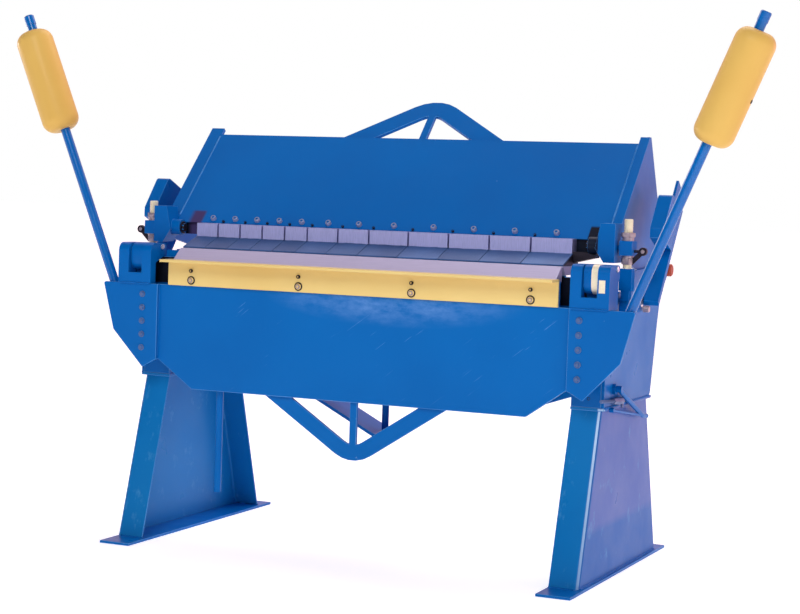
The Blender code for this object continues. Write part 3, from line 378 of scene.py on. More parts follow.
# Weld beads
bead_radius = 0.0030
hinge_bead_radius = 0.0026
thin_bead_radius = 0.0022
bead_ripple = 0.0034
bead_swell = 0.0007
bead_steps = 4
bead_sides = 8
bead_end = 0.004
side_bead_back = 0.366
wing_bead_foot = 0.036
wing_bead_head = 0.006
beam_bead_rises = (0.030, 0.380)
beam_bead_inset = 0.0002


def placed(name, data):
    """A new object in the scene that shows some data."""
    thing = bpy.data.objects.new(name, data)
    bpy.context.scene.collection.objects.link(thing)
    return thing


def look_from_photo():
    """The camera at the photograph's place, with its lens and its turn."""
    data = bpy.data.cameras.new("photo_camera")
    camera = placed("photo_camera", data)
    bpy.context.scene.camera = camera
    data.sensor_width = sensor_width
    data.lens = sensor_width * focal_pixels / photo_width
    right = Vector((math.cos(camera_yaw), math.sin(camera_yaw), 0))
    forward = Vector((-math.sin(camera_yaw) * math.cos(camera_pitch),
                      math.cos(camera_yaw) * math.cos(camera_pitch), -math.sin(camera_pitch)))
    rise = right.cross(forward)
    side = math.cos(camera_roll) * right + math.sin(camera_roll) * rise
    top = math.cos(camera_roll) * rise - math.sin(camera_roll) * right
    turn = Matrix((side, top, -forward)).transposed().to_4x4()
    camera.matrix_world = Matrix.Translation(camera_place) @ turn


def tree_of(name):
    """A new material's tree, its shader and the object's own coordinates."""
    material = bpy.data.materials.new(name)
    material.use_nodes = True
    tree = material.node_tree
    shader = tree.nodes["Principled BSDF"]
    place = tree.nodes.new("ShaderNodeTexCoord").outputs["Object"]
    return material, tree, shader, place


def mapped(tree, place, **settings):
    """A place after a mapping node, which takes its settings by the names of its inputs."""
    mapping = tree.nodes.new("ShaderNodeMapping")
    for name, value in settings.items():
        mapping.inputs[name].default_value = value
    tree.links.new(place, mapping.inputs["Vector"])
    return mapping.outputs["Vector"]


def axes_of(tree, place):
    """A place's three coordinates, each as a value."""
    split = tree.nodes.new("ShaderNodeSeparateXYZ")
    tree.links.new(place, split.inputs["Vector"])
    return tuple(split.outputs)


def noise_of(tree, place, scale, detail=3, rough=0.5, stretch=None):
    """A noise value over the object's coordinates, which may be stretched."""
    if stretch:
        place = mapped(tree, place, Scale=stretch)
    node = tree.nodes.new("ShaderNodeTexNoise")
    node.inputs["Scale"].default_value = scale
    node.inputs["Detail"].default_value = detail
    node.inputs["Roughness"].default_value = rough
    tree.links.new(place, node.inputs["Vector"])
    return node.outputs["Fac"]


def ranged(tree, value, low, high, to_low=0, to_high=1):
    """A value mapped from one range to another, held inside it."""
    node = tree.nodes.new("ShaderNodeMapRange")
    node.inputs["From Min"].default_value = low
    node.inputs["From Max"].default_value = high
    node.inputs["To Min"].default_value = to_low
    node.inputs["To Max"].default_value = to_high
    tree.links.new(value, node.inputs["Value"])
    return node.outputs["Result"]


def patchy(tree, place, noise, used):
    """A noise value, mapped from the range of it that is used."""
    return ranged(tree, noise_of(tree, place, *noise), *used)


def mixed(tree, share, first, second):
    """Two colours, or a socket and a colour, mixed by a share."""
    node = tree.nodes.new("ShaderNodeMix")
    node.data_type = "RGBA"
    tree.links.new(share, node.inputs["Factor"])
    for socket, colour in ((node.inputs["A"], first), (node.inputs["B"], second)):
        if isinstance(colour, tuple):
            socket.default_value = (*colour, 1)
        else:
            tree.links.new(colour, socket)
    return node.outputs["Result"]


def bumped(tree, shader, height, strength, distance):
    """Small relief on the shader's normal."""
    node = tree.nodes.new("ShaderNodeBump")
    node.inputs["Strength"].default_value = strength
    node.inputs["Distance"].default_value = distance
    tree.links.new(height, node.inputs["Height"])
    tree.links.new(node.outputs["Normal"], shader.inputs["Normal"])


def joined(tree, operation, first, second):
    """Two values, or a value and a number, put through one operation."""
    node = tree.nodes.new("ShaderNodeMath")
    node.operation = operation
    for socket, value in zip(node.inputs, (first, second)):
        if isinstance(value, (int, float)):
            socket.default_value = value
        else:
            tree.links.new(value, socket)
    return node.outputs[0]


def product(tree, first, *others):
    """Values, or a value and a number, multiplied together."""
    for value in others:
        first = joined(tree, "MULTIPLY", first, value)
    return first


def shaded(colour, share):
    """A colour made brighter or darker by a share."""
    return tuple(value * share for value in colour)


def enamel(name, colour, deep, chip, roughness=paint_roughness, marks=None, gloss=paint_gloss):
    """Brushed-on machine enamel: a little uneven in tone and gloss, with small scuffs."""
    material, tree, shader, place = tree_of(name)
    tone = mixed(tree, patchy(tree, place, *cloud_pattern), colour, deep)
    fleck = noise_of(tree, place, *fleck_noise)
    nearby = patchy(tree, place, *patch_pattern)
    scuff = ranged(tree, joined(tree, "ADD", fleck, nearby), *fleck_range)
    tone = mixed(tree, scuff, tone, chip)
    if marks:
        tone = marks(tree, place, tone)
    tree.links.new(tone, shader.inputs["Base Color"])
    sheen = noise_of(tree, place, *sheen_noise)
    spread = [roughness + step for step in paint_spread]
    tree.links.new(ranged(tree, sheen, *middle_range, *spread), shader.inputs["Roughness"])
    bumped(tree, shader, noise_of(tree, place, *brush_noise), *paint_relief)
    shader.inputs["Specular IOR Level"].default_value = gloss
    shader.inputs["Coat Weight"].default_value = paint_coat
    shader.inputs["Coat Roughness"].default_value = paint_coat_roughness
    return material


def apron_marks(tree, place, tone):
    """A pale patch under the angle bar, partly rubbed paint and partly a painted sheen, and fine slanting
    scratches below it.
    """
    scale = (1 / rub_sheen_half_width, 0, 1 / rub_sheen_half_height)
    fitted = mapped(tree, place, Scale=scale, Location=(-rub_sheen_x * scale[0], 0, -rub_sheen_z * scale[2]))
    ball = tree.nodes.new("ShaderNodeTexGradient")
    ball.gradient_type = "SPHERICAL"
    tree.links.new(fitted, ball.inputs["Vector"])
    near = ranged(tree, ball.outputs["Fac"], 0, rub_sheen_fade)
    tone = mixed(tree, product(tree, near, patchy(tree, place, *rub_sheen_pattern)), tone, rub_sheen_tone)
    lines = patchy(tree, mapped(tree, place, Rotation=(0, scratch_turn, 0)), *scratch_pattern)
    scratch = product(tree, lines, patchy(tree, place, *sparse_pattern))
    return mixed(tree, scratch, tone, scratch_tone)


def beam_marks(tree, place, tone):
    """Painted shade along the beam's foot and right of the fingers, and a darker purple patch on the left."""
    x, _, z = axes_of(tree, place)
    beside = ranged(tree, x, shade_from_x - mark_blur, shade_from_x)
    under = ranged(tree, z, dark_top_z - 2 * mark_blur, dark_top_z, 1, 0)
    rail = ranged(tree, z, beam_foot.z - mark_blur, beam_foot.z, 1, 0)
    tone = mixed(tree, joined(tree, "MAXIMUM", product(tree, beside, under), rail), tone, beam_shade_tone)
    left = product(tree, ranged(tree, x, *left_patch_rise), ranged(tree, x, *left_patch_fall, 1, 0), under)
    return mixed(tree, left, tone, left_patch_tone)


def bed_marks(tree, place, tone):
    """Painted shade on the bed's web beside the ends of the angle bar."""
    x, _, z = axes_of(tree, place)
    left = ranged(tree, x, bed_shade_left_x, bed_shade_left_x + edge_blur, 1, 0)
    right = ranged(tree, x, bed_shade_right_x - edge_blur, bed_shade_right_x)
    over = ranged(tree, z, shoulder_z, shoulder_z + mark_blur)
    return mixed(tree, product(tree, joined(tree, "MAXIMUM", left, right), over), tone, bed_shade_tone)


def casting_marks(tree, place, tone):
    """Painted shade on the right end casting's round boss."""
    x = axes_of(tree, place)[0]
    inner = ranged(tree, x, boss_shade_x - edge_blur, boss_shade_x, 1, 0)
    right = ranged(tree, x, 0, edge_blur)
    return mixed(tree, product(tree, inner, right), tone, boss_shade_tone)


def tube_highlight(tree, place, tone):
    """A painted highlight line down the inner side of the right arm."""
    x, y, z = axes_of(tree, place)
    out = product(tree, x, math.cos(arm_lean))
    across = joined(tree, "SUBTRACT", out, product(tree, z, math.sin(arm_lean)))
    axis = arm_crossing_x * math.cos(arm_lean) - shoulder_z * math.sin(arm_lean)
    low = axis - highlight_line_low * arm_radius
    high = axis - highlight_line_high * arm_radius
    rise = ranged(tree, across, low - fine_blur, low)
    fall = ranged(tree, across, high, high + fine_blur, 1, 0)
    front = ranged(tree, y, line_y + arm_y, line_y + arm_y + fine_blur, 1, 0)
    line = product(tree, rise, fall, front, patchy(tree, place, *highlight_break_pattern))
    return mixed(tree, line, tone, highlight_line_tone)


def stand_marks(tree, place, tone):
    """On the right stand: a side painted lighter above and darker below as painted reflection and shade, painted
    shade on the front bend and a painted highlight line down it; pale rubs all over.
    """
    x, y, z = axes_of(tree, place)
    depth = joined(tree, "SUBTRACT", y, product(tree, z, stand_front_slope))
    upper = ranged(tree, z, *stand_side_z)
    painted_side_tone = mixed(tree, upper, stand_side_painted_shade, stand_side_painted_light)
    tone = mixed(tree, ranged(tree, x, *stand_side_x), tone, painted_side_tone)
    outer = ranged(tree, x, *stand_bend_x)
    bend = ranged(tree, depth, *stand_bend_depth, 1, 0)
    tone = mixed(tree, product(tree, outer, bend), tone, stand_bend_shade_tone)
    edge = ranged(tree, depth, *stand_highlight_depth, 1, 0)
    faded = ranged(tree, z, *stand_highlight_fade)
    tone = mixed(tree, product(tree, edge, outer, faded), tone, stand_highlight_tone)
    return mixed(tree, patchy(tree, place, *stand_pattern), tone, stand_rub_tone)


def worked_steel(name, colour, deep, roughness, stretch, metal=steel_metal):
    """Steel with the fine lines of a grinding wheel and a few darker stains."""
    material, tree, shader, place = tree_of(name)
    lines = noise_of(tree, place, *grind_noise, stretch)
    tone = mixed(tree, ranged(tree, lines, *middle_range, 0, steel_lines), colour, deep)
    tone = mixed(tree, patchy(tree, place, *stain_pattern), tone, deep)
    tree.links.new(tone, shader.inputs["Base Color"])
    spread = [roughness + step for step in steel_spread]
    tree.links.new(ranged(tree, lines, *wide_range, *spread), shader.inputs["Roughness"])
    bumped(tree, shader, lines, *steel_relief)
    shader.inputs["Metallic"].default_value = metal
    return material


def finger_steel(name, seed):
    """A finger's finish: a bright ground shank over a dark oiled foot."""
    material, tree, shader, place = tree_of(name)
    moved = mapped(tree, place, Location=(seed * finger_shift[0], seed * finger_shift[1], 0))
    level = joined(tree, "ADD", axes_of(tree, place)[2], patchy(tree, moved, *waver_pattern))
    shank = ranged(tree, level, shank_foot_z - fine_blur, shank_foot_z + fine_blur)
    lines = noise_of(tree, moved, *grind_noise, finger_stretch)
    tint = 1 + finger_tint * math.sin(seed * finger_tint_turn)
    foot = mixed(tree, patchy(tree, moved, *foot_pattern), shaded(finger_foot, tint),
                 shaded(finger_foot_pale, tint))
    bright = mixed(tree, ranged(tree, lines, *middle_range), finger_shank, finger_shank_deep)
    tree.links.new(mixed(tree, shank, foot, bright), shader.inputs["Base Color"])
    tree.links.new(ranged(tree, lines, *wide_range, *finger_roughness), shader.inputs["Roughness"])
    tree.links.new(ranged(tree, shank, 0, 1, *finger_metal), shader.inputs["Metallic"])
    bumped(tree, shader, lines, *finger_relief)
    return material


def plain_stage(name, colour, roughness):
    """A matt floor with a trace of unevenness, which glows more with distance."""
    material, tree, shader, place = tree_of(name)
    away = tree.nodes.new("ShaderNodeVectorMath")
    away.operation = "LENGTH"
    tree.links.new(place, away.inputs[0])
    glow = ranged(tree, away.outputs["Value"], floor_glow_from, floor_glow_to, *floor_glow)
    shader.inputs["Emission Color"].default_value = (1, 1, 1, 1)
    tree.links.new(glow, shader.inputs["Emission Strength"])
    share = patchy(tree, place, *floor_pattern)
    tree.links.new(mixed(tree, share, colour, shaded(colour, floor_shade)), shader.inputs["Base Color"])
    shader.inputs["Roughness"].default_value = roughness
    return material


def smoothing_group():
    """A node group that shades smooth and keeps edges sharp past an angle."""
    group = bpy.data.node_groups.new("smooth_by_angle", "GeometryNodeTree")
    group.interface.new_socket("Geometry", in_out="INPUT", socket_type="NodeSocketGeometry")
    group.interface.new_socket("Geometry", in_out="OUTPUT", socket_type="NodeSocketGeometry")
    start = group.nodes.new("NodeGroupInput")
    end = group.nodes.new("NodeGroupOutput")
    faces = group.nodes.new("GeometryNodeSetShadeSmooth")
    edges = group.nodes.new("GeometryNodeSetShadeSmooth")
    edges.domain = "EDGE"
    edges.inputs["Shade Smooth"].default_value = False
    angle = group.nodes.new("GeometryNodeInputMeshEdgeAngle")
    past = group.nodes.new("FunctionNodeCompare")
    past.data_type = "FLOAT"
    past.operation = "GREATER_THAN"
    past.inputs["B"].default_value = smooth_limit
    group.links.new(start.outputs[0], faces.inputs["Geometry"])
    group.links.new(faces.outputs[0], edges.inputs["Geometry"])
    group.links.new(angle.outputs["Unsigned Angle"], past.inputs["A"])
    group.links.new(past.outputs["Result"], edges.inputs["Selection"])
    group.links.new(edges.outputs[0], end.inputs[0])
    return group


def soften(piece, width, group, pale_edges):
    """Rounded edges and even shading on a solid, by modifiers alone, with a paler second finish on edges that is
    partly paint wear and partly painted highlight.
    """
    weld = piece.modifiers.new("Weld", "WELD")
    weld.merge_threshold = merge_distance
    clean = piece.modifiers.new("Clean", "DECIMATE")
    clean.decimate_type = "DISSOLVE"
    clean.angle_limit = flat_limit
    edge = piece.modifiers.new("Edges", "BEVEL")
    edge.width = width
    edge.segments = edge_segments
    edge.material = 1 if pale_edges else 0
    edge.limit_method = "ANGLE"
    edge.angle_limit = sharp_limit
    shade = piece.modifiers.new("Shade", "NODES")
    shade.node_group = group
    even = piece.modifiers.new("Even", "WEIGHTED_NORMAL")
    even.keep_sharp = True


def spot(x, y, z):
    """A place in the frame's axes from a depth behind the clamping line."""
    return Vector((x, line_y + y, z))


def on_slope(x, rise):
    """A place on the beam plate's front face, a distance up its slope."""
    return beam_foot + Vector((x, rise * math.sin(beam_lean), rise * math.cos(beam_lean)))


def inner_and_outer(name, side):
    """The x of a node's inner and of its outer side, on the left or the right of the machine."""
    low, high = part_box(name)
    return (low.x, high.x) if side > 0 else (high.x, low.x)


def arm_line(side):
    """An arm's foot and tip, the way up it and the way out of it, away from the machine."""
    foot = spot(side * (arm_crossing_x - arm_foot_drop * math.tan(arm_lean)), arm_y,
                shoulder_z - arm_foot_drop)
    tip = spot(side * (arm_crossing_x + arm_rise * math.tan(arm_lean)), arm_y, shoulder_z + arm_rise)
    outward = Vector((side * math.cos(arm_lean), 0, -math.sin(arm_lean)))
    return foot, tip, (tip - foot).normalized(), outward


def edge_distance(angle, radius, corners):
    """How far the edge of a regular outline lies from its middle, or of a circle if it has no corners."""
    if not corners:
        return radius
    half = math.pi / corners
    return radius * math.cos(half) / math.cos(angle % (2 * half) - half)


def ring(centre, direction, radius, sides_count=round_sides, corners=0):
    """Points round a circle or a regular outline that faces a direction."""
    turn = Vector(direction).to_track_quat("Z", "Y")
    points = []
    for step in range(sides_count):
        angle = math.tau * step / sides_count
        reach = edge_distance(angle, radius, corners)
        points.append(Vector(centre) + turn @ Vector((reach * math.cos(angle), reach * math.sin(angle), 0)))
    return points


def skin(form, rings, closed=False):
    """Add a closed surface over equal rings of points to a mesh in the making."""
    rows = [[form.verts.new(point) for point in points] for points in rings]
    count = len(rows[0])
    following = rows[1:] + rows[:1] if closed else rows[1:]
    for low, high in zip(rows, following):
        for here in range(count):
            after = (here + 1) % count
            form.faces.new((low[here], low[after], high[after], high[here]))
    if not closed:
        form.faces.new(rows[0][::-1])
        form.faces.new(rows[-1])


def turn_into(form, start, direction, profile, sides_count=round_sides, closed=False):
    """Add a turned form. Its profile gives distances, radii and, for flats, a count of corners."""
    way = Vector(direction).normalized()
    skin(form, [ring(Vector(start) + way * step[0], way, step[1], sides_count, *step[2:])
                for step in profile], closed)


def block_into(form, low, high):
    """Add a block between two corners, with its upright edges cut."""
    cut = block_corner
    outline = [(low.x + cut, low.y), (high.x - cut, low.y), (high.x, low.y + cut), (high.x, high.y - cut),
               (high.x - cut, high.y), (low.x + cut, high.y), (low.x, high.y - cut), (low.x, low.y + cut)]
    skin(form, [[Vector((x, y, z)) for x, y in outline] for z in (low.z, high.z)])


def sweep_into(form, points, radii, sides_count):
    """Add a tube along a run of points, with a radius at each."""
    rings = []
    for index, point in enumerate(points):
        way = points[min(index + 1, len(points) - 1)] - points[max(index - 1, 0)]
        rings.append(ring(point, way, radii[index], sides_count))
    skin(form, rings)


def piece_from(name, form, finish, body, replaced=()):
    """A smooth piece that rides on a body and stands for the nodes it replaces."""
    bmesh.ops.recalc_face_normals(form, faces=form.faces)
    mesh = bpy.data.meshes.new(name)
    form.to_mesh(mesh)
    form.free()
    mesh.materials.append(materials[finish])
    mesh.shade_smooth()
    mesh.set_sharp_from_angle(angle=sharp_limit)
    piece = placed(name, mesh)
    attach(piece, body)
    if replaced:
        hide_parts(*replaced)


def cylinder(start, end, radius):
    """Profile of a plain cylinder."""
    return [(start, radius), (end, radius)]


def chamfered(start, end, radius, cut, end_share):
    """Profile of a cylinder whose end narrows over a cut to a share of its radius."""
    return [(start, radius), (end - cut, radius), (end, end_share * radius)]


def hexagon_nut(start, end, radius):
    """Profile of a nut with six flats and both faces chamfered."""
    face = nut_face_share * radius
    flats = [(along, radius, nut_flats) for along in (start + nut_cut, end - nut_cut)]
    return [(start, face), *flats, (end, face)]


def scaled(profile, radius, length=1):
    """A profile scaled across and along."""
    return [(along * length, across * radius, *flats) for along, across, *flats in profile]


def weld_bead(form, start, end, radius=bead_radius):
    """Add a weld's row of small ripples between two places."""
    run = Vector(end) - Vector(start)
    steps = max(bead_steps, round(run.length / bead_ripple * bead_steps))
    points = [Vector(start) + run * step / steps for step in range(steps + 1)]
    radii = [radius + bead_swell * abs(math.sin(math.pi * step / bead_steps)) for step in range(steps + 1)]
    sweep_into(form, points, radii, bead_sides)


def build_arms():
    """The counterweight arms with their caps, and the two weights that slide on them."""
    for name, side in sides.items():
        foot, tip, way, outward = arm_line(side)
        length = (tip - foot).length
        cap = length - arm_cap_length
        form = bmesh.new()
        turn_into(form, foot, way, cylinder(0, cap, arm_radius)
                  + chamfered(cap, length, arm_cap_radius, *arm_cap_cut))
        piece_from("arm_pipe_" + name, form, "tube_paint", "leaf", ["arm_" + name])
        build_weight(name, tip - way * (weight_top_margin + weight_length), way, outward)


def build_weight(name, start, way, outward):
    """A turned weight with rounded ends, whose bore round the pipe lies inward of its own axis."""
    form = bmesh.new()
    bore = arm_radius + weight_clearance
    crown = []
    for step in range(weight_steps + 1):
        angle = math.pi / 2 * step / weight_steps
        swell = (weight_radius - weight_flat_radius) * math.sin(angle)
        crown.append((weight_end * (1 - math.cos(angle)), weight_flat_radius + swell))
    outer = crown + [(weight_length - along, radius) for along, radius in crown[::-1]]
    middle = start + outward * weight_offset
    rings = [ring(start, way, bore, weight_sides)]
    rings += [ring(middle + way * along, way, radius, weight_sides) for along, radius in outer]
    rings.append(ring(start + way * weight_length, way, bore, weight_sides))
    skin(form, rings, closed=True)
    piece_from("weight_body_" + name, form, "yellow_paint", "weight_" + name, ["weight_" + name])


def build_weight_screws():
    """The clamp screw in each weight's outer side."""
    for name, side in sides.items():
        _, tip, way, outward = arm_line(side)
        drop = weight_top_margin + weight_screw_share * weight_length
        place = tip - way * drop + outward * (weight_offset + weight_radius)
        form = bmesh.new()
        turn_into(form, place, outward, weight_screw, screw_sides)
        piece_from("weight_screw_" + name, form, "dark_steel", "weight_" + name)


def build_finger_screws():
    """The bolt over each finger and the set screws between the fingers."""
    outward = Vector((0, -math.cos(beam_lean), math.sin(beam_lean)))
    bolts = bmesh.new()
    screws = bmesh.new()
    count = sum(name.startswith("finger_") for name in nodes)
    for number in range(1, count + 1):
        low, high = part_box("finger_%02d" % number)
        turn_into(bolts, on_slope((low.x + high.x) / 2, finger_bolt_rise), outward,
                  scaled(socket_head, finger_bolt_radius, finger_bolt_height), screw_sides)
        if number < count:
            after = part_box("finger_%02d" % (number + 1))[0]
            turn_into(screws, on_slope((high.x + after.x) / 2, set_screw_rise), outward,
                      scaled(socket_head, set_screw_radius, set_screw_height), screw_sides)
    piece_from("finger_bolt_heads", bolts, "bolt_steel", "beam")
    piece_from("finger_set_screws", screws, "dark_steel", "beam")


def build_leaf_screws():
    """The angle bar's bolts and jack screws, and the bolts down both wings."""
    washer = chamfered(*angle_washer, angle_bolt_radius, *washer_cut)
    bolt_head = scaled(socket_head, angle_head_radius, angle_bolt_height)
    jack_head = scaled(socket_head, jack_screw_radius, angle_bolt_height)
    bolts = bmesh.new()
    rings = bmesh.new()
    for index in range(angle_bolt_count):
        x = angle_bolt_half_span * (2 * index / (angle_bolt_count - 1) - 1)
        bolt = Vector((x, angle_front_y, shoulder_z + angle_bolt_rise))
        jack = Vector((x, angle_front_y, shoulder_z + jack_screw_rise))
        turn_into(rings, bolt, toward, washer, screw_sides)
        turn_into(bolts, bolt, toward, bolt_head, screw_sides)
        turn_into(rings, jack, toward, jack_head, screw_sides)
    piece_from("angle_bolt_washers", rings, "dark_steel", "leaf")
    piece_from("angle_bolt_heads", bolts, "pink_steel", "leaf")
    for name, side in sides.items():
        heads = bmesh.new()
        for index in range(wing_bolt_count):
            z = wing_bolt_top_z - index * wing_bolt_pitch
            turn_into(heads, Vector((side * wing_bolt_x[name], wing_front_y, z)), toward,
                      scaled(ringed_head, wing_bolt_radius, wing_bolt_height), screw_sides)
        piece_from("wing_bolt_heads_" + name, heads, "slate_steel", "leaf")


def build_boss_bolts():
    """The bolt and washer in each end casting's round boss."""
    for name, side in sides.items():
        inner_x = inner_and_outer("beam_casting_" + name, side)[0]
        face = Vector((inner_x + side * boss_reach, line_y + boss_y, boss_z))
        form = bmesh.new()
        washer = chamfered(*boss_washer, boss_washer_radius, *boss_washer_cut)
        turn_into(form, face, (-side, 0, 0), washer)
        turn_into(form, face, (-side, 0, 0), scaled(boss_bolt, boss_bolt_radius))
        piece_from("boss_bolt_" + name, form, "dark_steel", "beam")


def thread_profile(start, end, radius):
    """Profile of a cut thread between two distances along a stud."""
    profile = []
    turns = round((end - start) / thread_pitch)
    for index in range(turns):
        along = start + (end - start) * index / turns
        profile += [(along, radius - thread_depth), (along + thread_pitch / 2, radius)]
    return profile + [(end, radius - thread_depth)]


def build_links():
    """The threaded links, each with its nuts and collars, and with its fork and eye."""
    for name in sides:
        x, _, swivel_z = joints["link_swing_" + name]["pos_m"]
        axis = spot(x, link_y, 0)
        swivel_low = swivel_z - swivel_half
        swivel_top = swivel_z + swivel_half
        nut_low = swivel_z + upper_nut_rise
        nut_top = nut_low + upper_nut_height
        lower_low = swivel_z - lower_nut_drop
        lower_top = lower_low + lower_nut_height
        top = swivel_z + link_top_rise
        fork_top = lower_low - fork_top_drop
        stud = bmesh.new()
        thread = thread_profile(fork_top + fork_overlap, lower_low, stud_radius)
        turn_into(stud, axis, up, [(fork_top, stud_radius), *thread, (lower_top, stud_radius)])
        thread = thread_profile(nut_top, top - nut_cut, stud_radius)
        turn_into(stud, axis, up, [(nut_low, stud_radius), *thread, (top, nut_face_share * stud_radius)])
        turn_into(stud, axis, up, cylinder(swivel_low, swivel_top, swivel_stud_share * stud_radius))
        nuts = bmesh.new()
        turn_into(nuts, axis, up, hexagon_nut(nut_low, nut_top, upper_nut_radius), nut_sides)
        turn_into(nuts, axis, up, hexagon_nut(lower_low, lower_top, lower_nut_radius), nut_sides)
        turn_into(nuts, axis, up, cylinder(swivel_top, nut_low, collar_radius))
        turn_into(nuts, axis, up, cylinder(lower_top, swivel_low, collar_radius))
        body = "link_" + name
        rod = ["link_rod_" + name]
        piece_from("link_stud_" + name, stud, "cream_steel", body, rod)
        piece_from("link_nuts_" + name, nuts, "pink_steel", body, rod)
        piece_from("link_fork_" + name, fork_form(x, fork_top), "blue_paint", body, rod)


def fork_form(x, top_z):
    """The eye round a crank pin and, in two blocks, the fork that stands on it."""
    form = bmesh.new()
    eye = spot(x, crank_pin_y, crank_pin_z)
    half = link_eye_width / 2
    rim = link_eye_radius - link_eye_cut
    profile = [(-half, link_eye_hole), (-half, rim), (link_eye_cut - half, link_eye_radius),
               (half - link_eye_cut, link_eye_radius), (half, rim), (half, link_eye_hole)]
    turn_into(form, eye, (1, 0, 0), profile, closed=True)
    block_into(form, Vector((x - fork_leg_half, eye.y - fork_leg_depth, eye.z + fork_leg_rise)),
               Vector((x + fork_leg_half, eye.y + fork_leg_depth, fork_foot_z + fork_overlap)))
    block_into(form, Vector((x - fork_half, eye.y - fork_depth, fork_foot_z)),
               Vector((x + fork_half, eye.y + fork_depth, top_z)))
    return form


def build_hinge_faces():
    """The machined band round the hinge barrel's nose and the bright pad on the outer lug, on the right."""
    low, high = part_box("frame_hinge_block_right")
    outline = barrel_outline(low, high)
    form = bmesh.new()
    skin(form, [[Vector((x, y, z)) for y, z in outline] for x in (high.x - band_width, high.x + proud)])
    piece_from("hinge_barrel_band", form, "cream_steel", "frame")
    form = bmesh.new()
    lug_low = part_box("leaf_hinge_right")[0]
    corners = [(pad_inner_x, pad_bottom_z), (pad_outer_x, pad_bottom_z), (pad_outer_x, pad_top_z),
               (pad_inner_x, pad_top_z)]
    skin(form, [[Vector((x, lug_low.y - step, z)) for x, z in corners] for step in (-pad_depth, proud)])
    piece_from("hinge_lug_pad", form, "cream_steel", "leaf")


def barrel_outline(low, high):
    """The rounded nose of the hinge block seen from its end, a little proud of it."""
    front = low.y - proud
    top = high.z + proud
    bottom = nose_bottom_z - proud
    points = [(nose_back_y + line_y, top)]
    for centre_z, begin, turn_to, radius in ((top - nose_top_corner, 90, 180, nose_top_corner),
                                             (bottom + nose_low_corner, 180, 270, nose_low_corner)):
        for step in range(nose_steps + 1):
            angle = math.radians(begin + (turn_to - begin) * step / nose_steps)
            points.append((front + radius + radius * math.cos(angle), centre_z + radius * math.sin(angle)))
    return points + [(nose_back_y + line_y, bottom)]


def build_lever_screws():
    """The bright screw end under each clamp lever's foot, and the keeper beside each swivel."""
    for name, side in sides.items():
        pivot = Vector(joints["clamp_lever_" + name]["pos_m"])
        form = bmesh.new()
        turn_into(form, pivot + Vector((side * hub_screw_offset, 0, -hub_screw_drop)), (side, 0, 0),
                  chamfered(0, hub_screw_length, hub_screw_radius, *hub_screw_cut), screw_sides)
        piece_from("lever_hub_screw_" + name, form, "pink_steel", "lever_" + name)
        build_keeper(name, side)


def build_keeper(name, side):
    """The keeper beside a swivel: a rod out to a ringed bolt, and a black strap down to the lower nut."""
    swivel_x = joints["link_swing_" + name]["pos_m"][0]
    shift = swivel_x - side * right_swivel_x
    centre = spot(side * keeper_ring[0] + shift, *keeper_ring[1:])
    form = bmesh.new()
    bolt = scaled(keeper_bolt, keeper_ring_radius)
    turn_into(form, centre + Vector((0, keeper_ring_back, 0)), toward, bolt)
    rod_x = swivel_x + side * keeper_rod_offset
    turn_into(form, Vector((rod_x, centre.y, centre.z)), (side, 0, 0),
              cylinder(0, abs(centre.x - rod_x), keeper_rod_radius), keeper_rod_sides)
    foot = spot(side * keeper_strap_foot[0] + shift, keeper_ring[1], keeper_strap_foot[1])
    run = centre - foot
    across = Vector((-run.z, 0, run.x)).normalized() * keeper_strap_half
    corners = [foot - across, foot + across, centre + across, centre - across]
    skin(form, [[corner + Vector((0, step, 0)) for corner in corners] for step in keeper_strap_depth])
    piece_from("link_keeper_" + name, form, "dark_steel", "link_" + name)
    form = bmesh.new()
    turn_into(form, centre - Vector((0, keeper_pin_back, 0)), toward,
              chamfered(0, keeper_pin_height, keeper_pin_radius, *keeper_pin_cut), screw_sides)
    piece_from("link_keeper_pin_" + name, form, "pink_steel", "link_" + name)


def build_welds():
    """Weld beads where plates meet; those along the beam's ends take the pale edge finish of wear and painted
    highlight.
    """
    frame_beads = bmesh.new()
    leaf_beads = bmesh.new()
    beam_beads = bmesh.new()
    for name, side in sides.items():
        stand_welds(frame_beads, name, side)
        plate_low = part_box("side_plate_" + name)[0]
        plate_x = inner_and_outer("side_plate_" + name, side)[1]
        weld_bead(frame_beads, (plate_x, plate_low.y + bead_end, plate_low.z),
                  (plate_x, line_y + side_bead_back, plate_low.z))
        low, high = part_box("leaf_hinge_" + name)
        weld_bead(leaf_beads, (low.x + bead_end, low.y, shoulder_z), (high.x - bead_end, low.y, shoulder_z),
                  hinge_bead_radius)
        low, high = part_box("wing_" + name)
        wing_x = inner_and_outer("wing_" + name, side)[0]
        weld_bead(leaf_beads, (wing_x, leaf_front_y, low.z + wing_bead_foot),
                  (wing_x, leaf_front_y, high.z - wing_bead_head), thin_bead_radius)
        end_x = inner_and_outer("beam_end_" + name, side)[0] - side * beam_bead_inset
        foot, head = [on_slope(end_x, rise) for rise in beam_bead_rises]
        weld_bead(beam_beads, foot, head, thin_bead_radius)
    piece_from("frame_welds", frame_beads, "blue_paint", "frame")
    piece_from("leaf_welds", leaf_beads, "blue_paint", "leaf")
    piece_from("beam_welds", beam_beads, "worn_edge", "beam")


def stand_welds(form, name, side):
    """The beads round a stand's foot, along its outer side, its front and its back."""
    low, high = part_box("stand_" + name)
    base_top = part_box("base_plate_" + name)[1].z
    out_x = inner_and_outer("stand_" + name, side)[1] - side * stand_cap_reach
    in_x = out_x - side * stand_width
    bend_x = out_x - side * stand_bend
    weld_bead(form, (out_x, low.y + stand_bend, base_top), (out_x, high.y - stand_bend, base_top))
    for y in (low.y, high.y):
        weld_bead(form, (bend_x, y, base_top), (in_x, y, base_top))


